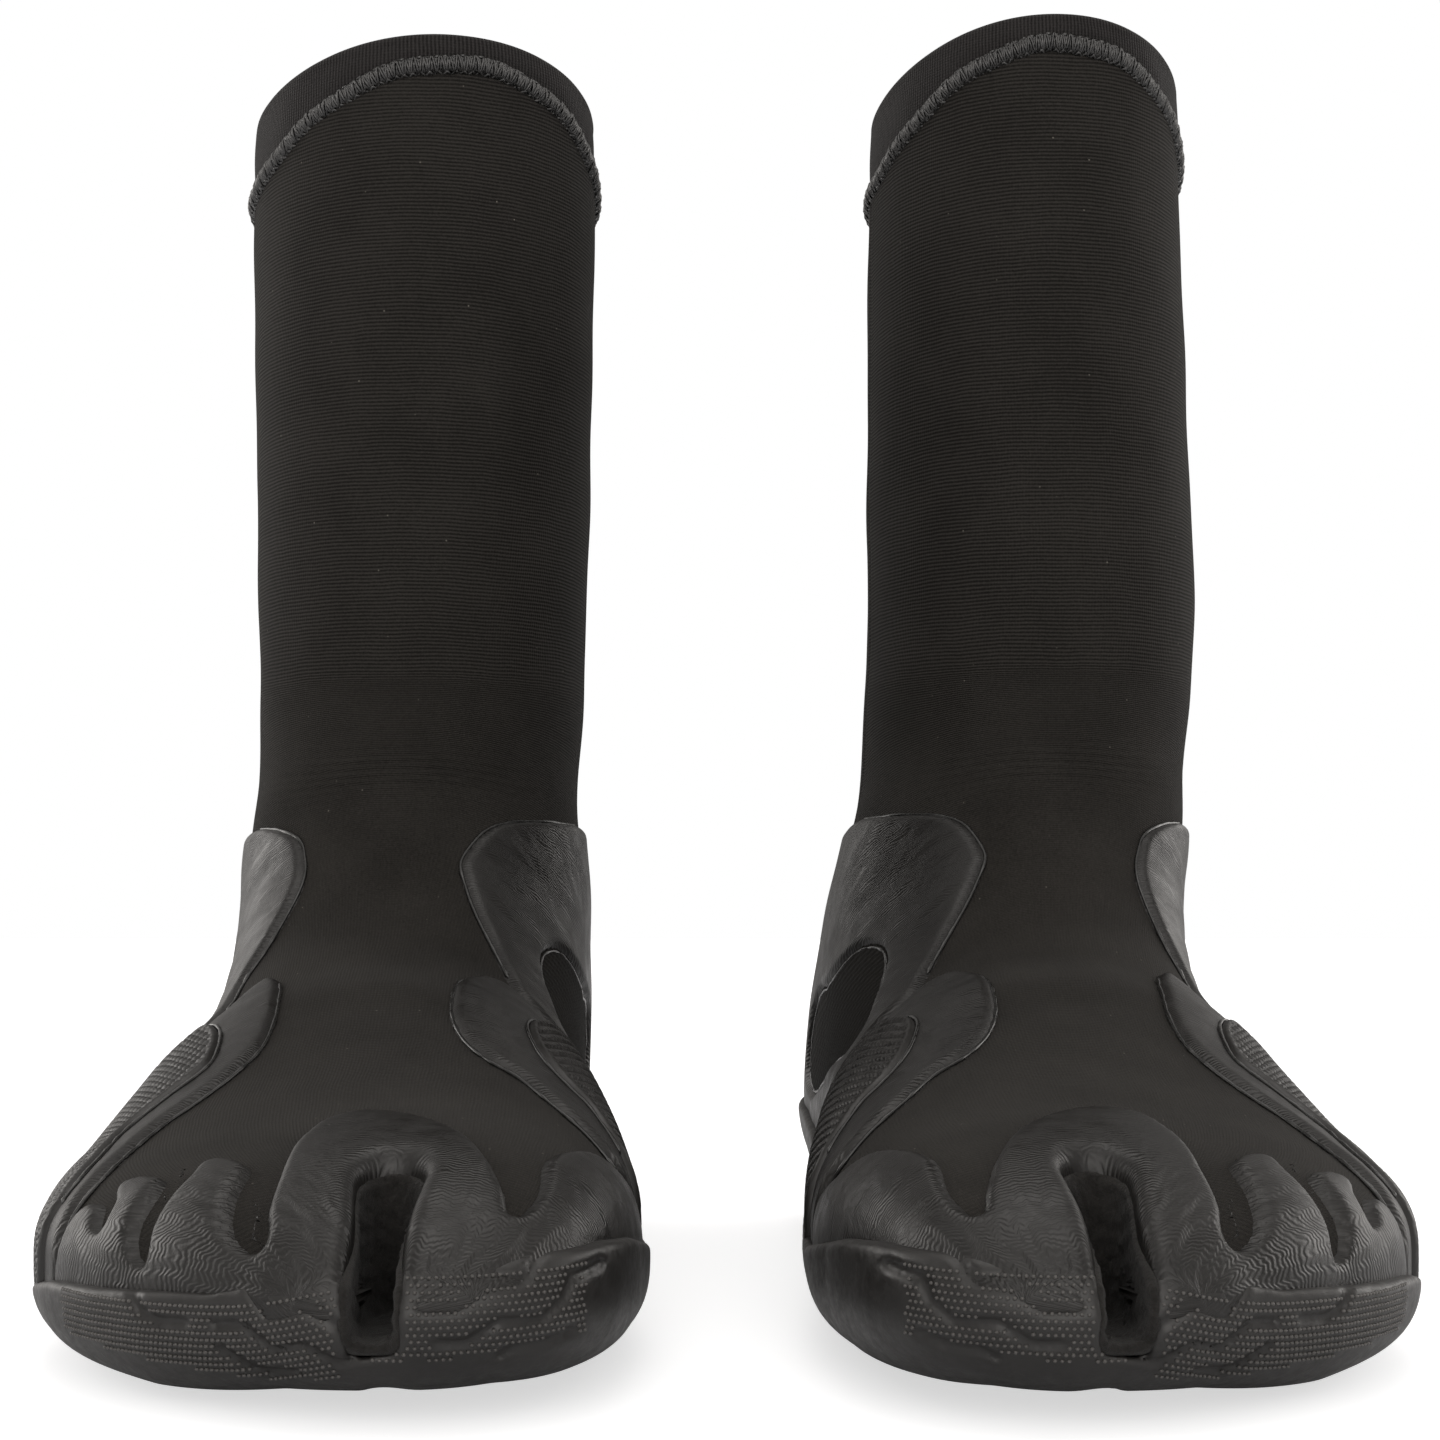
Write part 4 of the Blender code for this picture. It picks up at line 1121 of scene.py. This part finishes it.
HEEL_TOP = round_ankle(
    (22, 0.388), (18, 0.60), (14, 0.80), (12.5, 1.0), (14, 1.20), (19, 1.42), (24, 1.60), (28, 1.74),
)
HEEL_OUTER = round_ankle(
    (32, 1.812), (37, 1.865), (42, 1.881), (48, 1.871), (54, 1.839), (61, 1.792), (67, 1.744), (79, 1.732),
)
HEEL_INNER = round_ankle(
    (77, 0.263), (71, 0.218), (64, 0.18), (57, 0.142), (51, 0.113), (45, 0.094), (39, 0.107), (33, 0.151),
    (27, 0.256),
)


def heel_outline():
    bottom = [under_sole(at_angle(a), -1) for a in (86, 70, 55, 47, 41, 36)]
    bottom += round_ankle((34, 1.06), (33.5, 1.0), (34, 0.94))
    bottom += [under_sole(at_angle(a), 1) for a in (36, 41, 47, 55, 68, 80)]
    return HEEL_TOP + HEEL_OUTER + [(at_reach(-96), 1.70)] + bottom + HEEL_INNER


def heel_relief(places, turns, gap):
    """The moulded heel cup: a raised back panel and a little soft unevenness."""
    behind = np.abs((turns % 2) - 1)
    cup = np.clip((0.22 - behind) / 0.05, 0, 1) * np.clip((places - at_angle(20)) / 8, 0, 1)
    relief = 0.55 * cup * np.clip(gap / 3, 0, 1)
    return relief + 0.12 * surface_ripple(places, turns, 30.0, 5) * np.clip(gap, 0, 1)


def knurl(places, turns, gap):
    """Small raised blocks in slanted rows, inside a plain border."""
    u = turns * GIRTH
    v = places
    a = np.abs(((u * 0.9 + v * 0.45) / 2.3) % 1 - 0.5) * 2
    b = np.abs(((v * 0.9 - u * 0.45) / 1.75) % 1 - 0.5) * 2
    block = np.clip((0.80 - np.maximum(a, b)) * 4, 0, 1)
    return (block - 1) * 0.55 * np.clip((gap - 1.3) / 0.6, 0, 1)


def rib_relief(places, turns, gap):
    return 0.16 * np.sin(TAU * (places * 0.8 + turns * GIRTH * 0.35) / 1.7)


def heel_pieces(boot, m):
    hole = window_outline(boot)
    overlay(
        boot, "heel_wrap_skin", heel_outline(), SKIN_THICK, m["skin"], "rubber", ("heel_wrap",), hole,
        relief=heel_relief,
    )
    overlay(
        boot, "window_panel", grown(hole, 2.5), 0.55, m["window"], "neoprene", ("window_fabric",), width=0.8,
        step=0.6, relief=rib_relief,
    )
    glue_line(boot, m, "glue_heel_inner", HEEL_INNER[1:] + HEEL_TOP[:1], 0.35, 0.42, 4)
    glue_line(boot, m, "glue_heel_outer", HEEL_TOP[-1:] + HEEL_OUTER, 0.35, 0.42, 7)
    glue_line(boot, m, "glue_window", grown(hole, -0.5), 0.45, 0.35, 9, closed=True)
    strip = round_ankle(
        (14, 0.85), (6, 0.86),
    ) + up_leg(
        (131, 0.875), (134, 0.93), (135, 1.0), (134, 1.07), (131, 1.125),
    ) + round_ankle(
        (6, 1.14), (14, 1.15), (16, 1.0),
    )
    overlay(
        boot, "achilles_skin", strip, SKIN_THICK * 0.8, m["skin"], "rubber", ("achilles_strip",),
        relief=lambda p, t, g: 0.35 * np.sin(TAU * p / 5.5) * np.clip((g - 1.5) / 2, 0, 1),
    )


WING_MEDIAL_FRONT = round_ankle(
    (80, 0.283), (78, 0.246), (77, 0.206), (79, 0.168), (86, 0.138),
) + along_foot(
    (-102, 0.130), (-113, 0.134), (-124, 0.157), (-132, 0.197), (-137, 0.248), (-145, 0.299), (-149, 0.345),
    (-152, 0.398), (-151, 0.44),
)
GRIP_MEDIAL_FRONT = along_foot(
    (-99, 0.262), (-104, 0.248), (-110, 0.247), (-121, 0.268), (-129, 0.307), (-132, 0.348), (-136, 0.383),
    (-139, 0.425),
)
WING_LATERAL_FRONT = round_ankle(
    (79, -0.176), (84, -0.156),
) + along_foot(
    (-98, -0.146), (-110, -0.142), (-124, -0.150), (-134, -0.181), (-141, -0.214), (-150, -0.260),
    (-162, -0.305), (-174, -0.346), (-181, -0.394), (-185, -0.448),
)
GRIP_LATERAL_FRONT = along_foot(
    (-101, -0.262), (-104, -0.240), (-113, -0.220), (-126, -0.217), (-132, -0.238), (-137, -0.274),
    (-145, -0.319), (-158, -0.343), (-172, -0.377), (-178, -0.420),
)


def past_back(outline):
    """The outer side's turns, written as negative numbers, counted on past the back."""
    return [(place, turn % 2) for place, turn in outline]


def tucked_under(side, reaches, angles=()):
    """Points below the outsole's edge, along the foot and then round the ankle."""
    return [under_sole(place, side) for place in (*map(at_reach, reaches), *map(at_angle, angles))]


def midfoot_pair(boot, m, where, node_end, wing, pad):
    """A wing and the grip pad on it."""
    overlay(boot, f"wing_{where}", wing, SKIN_THICK, m["skin"], "rubber", (f"midfoot_wing_{node_end}",))
    overlay(
        boot, f"grip_{where}", pad, GRIP_THICK, m["grip"], "grip", (f"midfoot_grip_{node_end}",), step=0.42,
        width=1.3, relief=knurl,
    )


def midfoot_pieces(boot, m):
    wing = WING_MEDIAL_FRONT + tucked_under(1, (-149, -130, -112), (86, 76))
    wing += round_ankle((75.5, 0.42), (78, 0.34))
    pad = GRIP_MEDIAL_FRONT + tucked_under(1, (-138, -120, -102), (84,)) + round_ankle((82, 0.38), (84, 0.30))
    midfoot_pair(boot, m, "inner", "medial", wing, pad)
    rear = along_foot((-99, -0.45), (-98, -0.36), (-97, -0.27)) + round_ankle((81, -0.212))
    wing = past_back(WING_LATERAL_FRONT) + tucked_under(-1, (-185, -172, -155, -138, -120, -104))
    pad = past_back(GRIP_LATERAL_FRONT) + tucked_under(-1, (-176, -156, -138, -120, -108))
    pad += past_back(along_foot((-104, -0.40), (-102, -0.31)))
    midfoot_pair(boot, m, "outer", "lateral", wing + past_back(rear), pad)
    on_wing = SKIN_THICK + 0.15
    lines = {
        "glue_wing_inner": (WING_MEDIAL_FRONT[2:], 0.35),
        "glue_wing_outer": (WING_LATERAL_FRONT[1:], 0.35),
        "glue_grip_inner": (GRIP_MEDIAL_FRONT, on_wing),
        "glue_grip_outer": (GRIP_LATERAL_FRONT, on_wing),
    }
    for seed, (name, (line, depth)) in enumerate(lines.items(), 20):
        glue_line(boot, m, name, line, depth, 0.40, seed)


# The toe cap's scalloped rear edge, from the little toe to the big toe.
TOE_SCALLOPS = along_foot(
    (-184, -0.60), (-184, -0.52), (-185.5, -0.46), (-186, -0.41), (-188, -0.385), (-192, -0.392),
    (-195.5, -0.425), (-196.5, -0.42), (-194, -0.385), (-190, -0.366), (-187.5, -0.338), (-189, -0.304),
    (-194, -0.290), (-200, -0.345), (-206, -0.452), (-207, -0.440), (-203, -0.355), (-197.5, -0.275),
    (-192.5, -0.233), (-191.5, -0.195), (-195, -0.168), (-200, -0.172), (-208, -0.250), (-217, -0.355),
    (-218.5, -0.335), (-215, -0.262), (-203, -0.140), (-187, -0.067), (-176.5, -0.021), (-172.5, 0.04),
    (-177, 0.107), (-187, 0.176), (-199, 0.224), (-206, 0.251), (-211, 0.277), (-213, 0.292),
    (-212, 0.312), (-205, 0.317), (-196, 0.306), (-189, 0.311), (-182, 0.326), (-170, 0.359),
    (-161, 0.41), (-152, 0.452), (-147, 0.50), (-147, 0.60),
)


def toe_ring():
    ahead = TOE_END + 30
    return np.vstack([open_curve(TOE_SCALLOPS, 0.9), [(ahead, 0.62), (ahead, -0.62)]])


def toe_height(gap):
    """How far the toe cap stands off the neoprene: lobes over the toes that swell away from their edges."""
    swell = 0.7 * (1 - np.exp(-np.clip(gap, 0, None) / 7.0))
    return rounded_edge(gap, 1.5, 1.6) + swell


def toe_cap_mesh():
    axes = [np.arange(-50, 62, 0.72), np.arange(-237, -142, 0.72), np.arange(2, 52, 0.72)]
    last = last_field(axes, -3.5, 5.5)
    x, y, z = np.meshgrid(*axes, indexing="ij")
    slot = -slot_field(x, y, z)
    body = smooth_max(last, slot, 7.0)
    band = np.argwhere((body > -3.0) & (body < 5.0))
    spots = np.stack([axes[k][band[:, k]] for k in range(3)], -1)
    place, turn, across = locate(spots)
    ring = toe_ring()
    rear = on_layer(np.minimum(ring[:-2, 0], TOE_END - 1), ring[:-2, 1])
    surface = last[tuple(band.T)]
    reach = distance_to_line(spots, rear, closed=False)
    gap = np.sqrt(np.maximum(reach**2 - surface**2, 0))
    gap = np.where(inside(ring, place, turn), gap, -gap) - 0.35
    field = np.maximum(body, 3.0)
    value = body[tuple(band.T)]
    outer = smooth_max(surface - toe_height(gap), slot[tuple(band.T)], 4.0)
    low = spots[:, 2] - (edge_height(place, across) - 7)
    field[tuple(band.T)] = np.maximum(np.maximum(outer, -1.6 - value), -low)
    field[body <= -3.0] = 3.0
    points, quads = surface_nets(field, axes)
    return settle(points, quads, field, axes), quads


def zigzag_distance(x, z, lines):
    best = np.full(x.shape, 9.0)
    for line in lines:
        for (x0, z0), (x1, z1) in zip(line, line[1:]):
            length = (x1 - x0) ** 2 + (z1 - z0) ** 2
            t = np.clip(((x - x0) * (x1 - x0) + (z - z0) * (z1 - z0)) / length, 0, 1)
            best = np.minimum(best, np.hypot(x - x0 - t * (x1 - x0), z - z0 - t * (z1 - z0)))
    return best


# Grooves in the outsole's front face, as seen from ahead: x and z.
FRONT_GROOVES = [
    [(1.5, 21.2), (4.5, 17.8), (6.9, 18.2), (10.3, 19.8), (15.4, 16.2)],
    [(-4.6, 15.5), (0.2, 15.8), (5.2, 12.1), (9.6, 13.6), (15.0, 10.5), (19.0, 12.2)],
    [(27.8, 19.5), (32.2, 19.2), (36.6, 22.5), (42.0, 22.2), (44.3, 26.0)],
    [(29.5, 13.9), (33.9, 13.8), (38.6, 16.8), (44.7, 16.5), (47.7, 19.2), (48.7, 22.2), (52.7, 23.2)],
    [(38.2, 11.2), (40.6, 12.4), (45.3, 12.7), (48.7, 14.0)],
    [(-19.7, 20.2), (-17.4, 16.5), (-14.0, 15.1), (-9.6, 15.4)],
    [(-3.9, 11.8), (0.8, 8.9), (3.5, 8.2), (8.0, 8.9)],
]


def outsole_field(last, axes):
    x, y, z = np.meshgrid(*axes, indexing="ij")
    grid = np.stack([x, y, z], -1)
    place, _, across = locate(grid)
    corner = np.clip((np.abs(x - SLOT_X) - 16) / 22, 0, 1) * np.clip((-150 - y) / 30, 0, 1)
    ahead = np.clip((-180 - y) / 25, 0, 1)
    thick = SOLE_THICK + (2.4 * corner - 0.9) * ahead
    edge = edge_height(place, across)
    thick = thick - 0.8 * (1 - corner) * ahead * np.clip((z - edge + 7) / 7, 0, 1)
    groove = zigzag_distance(x, z, FRONT_GROOVES)
    thick = thick - 0.9 * np.clip(1.25 - groove, 0, 1) * np.clip((-172 - y) / 10, 0, 1)
    field = smooth_max(last - thick, z - edge, 1.6)
    field = np.maximum(field, 0.5 - last)
    field = smooth_max(field, -z, 2.0)
    field = smooth_max(field, -slot_field(x, y, z, SLOT_FLOOR - 1.0), 2.0)
    notch = np.hypot(x - SLOT_X - 0.5, z - 0.6 + np.clip((y + 205) * 0.4, 0, 20)) - 4.2
    field = smooth_max(field, -notch, 1.5)
    return np.maximum(field, np.where(z < 1.4, tread_depth(x, y) - z, -9))


def tread_depth(x, y):
    """How high the grooves under the sole reach: zigzags across it, widest under the ball of the foot."""
    wave = np.abs((x / 15.0) % 1 - 0.5) * 2
    across = np.abs(((y + 5.0 * wave) / 11.0) % 1 - 0.5) * 11.0
    cut = np.clip(1.6 - across, 0, 1)
    edge = np.clip((46 - np.abs(x)) / 3, 0, 1)
    return 1.1 * cut * edge


def outsole_mesh():
    axes = [
        np.arange(-62, 66, 0.82),
        np.concatenate([np.arange(-238, -165, 0.62), np.arange(-165, -120, 1.1), np.arange(-120, 64, 1.6)]),
        np.arange(-1.6, 42, 0.78),
    ]
    last = last_field(axes, -0.8, 6.5)
    field = outsole_field(last, axes)
    points, quads = surface_nets(field, axes)
    return settle(points, quads, field, axes, 2), quads


def gusset_mesh():
    """The fuzzy lined wall inside the slot."""
    axes = [np.arange(8, 32, 0.55), np.arange(-236, -194, 0.55), np.arange(9, 48, 0.55)]
    last = last_field(axes, -40, 4)
    x, y, z = np.meshgrid(*axes, indexing="ij")
    wall = slot_field(x, y, z)
    pile = 0.28 * ripple(np.stack([x, y, z], -1), 3.6, 31) + 0.16 * ripple(np.stack([x, y, z], -1), 1.7, 32)
    field = np.maximum(-(wall + 0.55 + pile), wall - 1.4)
    proud = 3.4 * np.clip((27 - z) / 5, 0, 1)
    field = smooth_max(field, last + 1.4 - proud, 1.5)
    points, quads = surface_nets(field, axes)
    return settle(points, quads, field, axes, 1), quads


DOT_ROWS = 19
DOT_ROW_PITCH = 1.02
DOT_DEGREES = 0.87
DOT_SPACING = 0.93
DOT_CENTRE = (SLOT_X - 2, -158.0)


def dot_field(sole, toe):
    """Small raised dots in curved rows on the outsole's front face: (points, quads)."""
    corners = np.vstack([sole[0], toe[0]])
    faces = np.vstack([sole[1], toe[1] + len(sole[0])])
    tree = BVHTree.FromPolygons([Vector(p) for p in corners], [tuple(q) for q in faces.tolist()])
    ring = np.linspace(0, TAU, 6, endpoint=False)
    points = []
    quads = []
    for row in range(DOT_ROWS):
        before = Vector((0, 0, -9))
        for step in range(-106, 98):
            bearing = math.radians(step * DOT_DEGREES + (0.43 if row % 2 else 0.0))
            reach = Vector((math.sin(bearing), -math.cos(bearing), 0))
            spot_x = DOT_CENTRE[0] + reach.x * 66
            side = 1 if spot_x > SLOT_X else -1
            top = 25.0 if side > 0 else 19.6 + 4.0 * math.exp(-((spot_x - SLOT_X) / 15.0) ** 2)
            sag = 2.2 * (1 - math.cos(bearing)) * (1.0 if side < 0 else -1.2)
            height = top - 1.6 - row * DOT_ROW_PITCH - sag
            start = Vector((*DOT_CENTRE, height)) + reach * 105
            hit, normal, _, _ = tree.ray_cast(start, -reach)
            if hit is None or normal.dot(reach) < 0.25 or not dotted(hit):
                continue
            if (hit - before).length < DOT_SPACING:
                continue
            before = hit
            tangent = normal.cross(Vector((0, 0, 1))).normalized()
            up = tangent.cross(normal).normalized()
            size = 0.36 + 0.05 * math.sin(step * 1.7 + row)
            long = 0.50 if side < 0 and hit.x < 0 else 0.41
            base = len(points)
            for radius, lift in ((1.0, -0.15), (0.62, 0.30)):
                for a in ring:
                    aside = tangent * math.cos(a) * radius * long + up * math.sin(a) * radius * size
                    points.append(hit + aside + normal * lift)
            for k in range(6):
                quads.append((base + 6 + k, base + 6 + (k + 1) % 6, base + (k + 1) % 6, base + k))
            quads.append((base + 9, base + 8, base + 7, base + 6))
            quads.append((base + 11, base + 10, base + 9, base + 6))
            quads.append((base, base + 1, base + 2, base + 3))
            quads.append((base, base + 3, base + 4, base + 5))
    return np.array([tuple(p) for p in points]), np.array(quads)


def dotted(hit):
    """Where the front face carries dots: not in the slot, the corners, the lower band or a groove."""
    if abs(hit.x - SLOT_X) < 5.2 and hit.z > SLOT_FLOOR - 0.6:
        return False
    if hit.x > 51 or hit.x < -34:
        return False
    low = 6.5 + 0.10 * abs(hit.x - 2) if hit.x < SLOT_X else 11.0 + 0.10 * abs(hit.x - 30)
    if abs(hit.x - SLOT_X) < 5.2:
        low = 11.0
    if hit.z < low:
        return False
    return zigzag_distance(np.array([hit.x]), np.array([hit.z]), FRONT_GROOVES)[0] > 0.75


def build(boot, m, shared):
    shell(boot, m)
    collar_band(boot, m)
    overlock(boot, m)
    linings(boot, m)
    footbed(boot, m)
    heel_pieces(boot, m)
    midfoot_pieces(boot, m)
    make_object(boot, "toe_cap_skin", *shared["toe"], m["toe"], "rubber", ("toe_cap",))
    make_object(boot, "outsole_cup", *shared["sole"], m["sole"], "sole", ("outsole",))
    make_object(boot, "outsole_dots", *shared["dots"], m["dots"], "sole")
    make_object(boot, "slot_lining", *shared["gusset"], m["slot"], "slot", ("slot_gusset",))


# --- the studio ----------------------------------------------------------------------------------------


def pale_floor():
    """A matt floor that the camera sees as white, however dim the light on it."""
    made, tree, shader = new_material("pale_floor", 0.9, 0.1)
    shader.inputs["Base Color"].default_value = (0.72, 0.73, 0.75, 1)
    shader.inputs["Emission Color"].default_value = (1, 1, 1, 1)
    glow = maths(tree, "MULTIPLY", add(tree, "LightPath").outputs["Is Camera Ray"], 0.62)
    tree.links.new(glow, shader.inputs["Emission Strength"])
    return made


# The soft lights of the room: where each lies, how narrow it is and how strong.
SKY_LIGHTS = (
    ((0.0, -0.94, 0.34), 4.0, 2.4),
    ((0.0, 0.15, 1.0), 14.0, 2.2),
    ((0.85, 0.45, 0.25), 14.0, 3.6),
    ((-0.85, 0.45, 0.25), 14.0, 3.6),
)


def lobe(tree, direction, towards, power, strength):
    """A soft patch of light in the sky."""
    target = tuple(Vector(towards).normalized())
    share = add(tree, "VectorMath", {0: direction, 1: target}, operation="DOT_PRODUCT").outputs["Value"]
    share = maths(tree, "POWER", maths(tree, "MAXIMUM", share, 0.0), power)
    return maths(tree, "MULTIPLY", share, strength)


def sky():
    """A white room: a soft box in front and above, and two banks beside and behind."""
    world = bpy.data.worlds.new("studio")
    world.use_nodes = True
    tree = world.node_tree
    direction = add(tree, "TexCoord").outputs["Generated"]
    light = 0.20
    for towards, power, strength in SKY_LIGHTS:
        light = maths(tree, "ADD", lobe(tree, direction, towards, power, strength), light)
    seen = add(tree, "LightPath").outputs["Is Camera Ray"]
    strength = add(tree, "Mix", {0: seen, 2: light, 3: 1.0}).outputs[0]
    background = tree.nodes["Background"]
    tree.links.new(shade(tree, seen, (1.0, 0.965, 0.93), (1, 1, 1)), background.inputs["Color"])
    tree.links.new(strength, background.inputs["Strength"])
    return world


def studio():
    scene = bpy.context.scene
    mesh = bpy.data.meshes.new("floor")
    reach = 6.0
    mesh.from_pydata(
        [(-reach, -reach, 0), (reach, -reach, 0), (reach, reach, 0), (-reach, reach, 0)], [], [(0, 1, 2, 3)]
    )
    floor = bpy.data.objects.new("floor", mesh)
    mesh.materials.append(pale_floor())
    scene.collection.objects.link(floor)
    scene.world = sky()
    scene.view_settings.view_transform = "Standard"


def camera():
    data = bpy.data.cameras.new("camera")
    data.sensor_width = 36.0
    data.lens = 59.925
    data.shift_y = 0.1326
    made = bpy.data.objects.new("camera", data)
    made.location = (-0.00048, -0.4927, 0.0777)
    made.rotation_euler = (math.radians(90), 0, 0)
    bpy.context.scene.collection.objects.link(made)
    bpy.context.scene.camera = made


def main():
    camera()
    studio()
    materials = make_materials()
    sole = outsole_mesh()
    toe = toe_cap_mesh()
    shared = {"toe": toe, "sole": sole, "dots": dot_field(sole, toe), "gusset": gusset_mesh()}
    for boot in BOOTS:
        build(boot, materials, shared)


main()
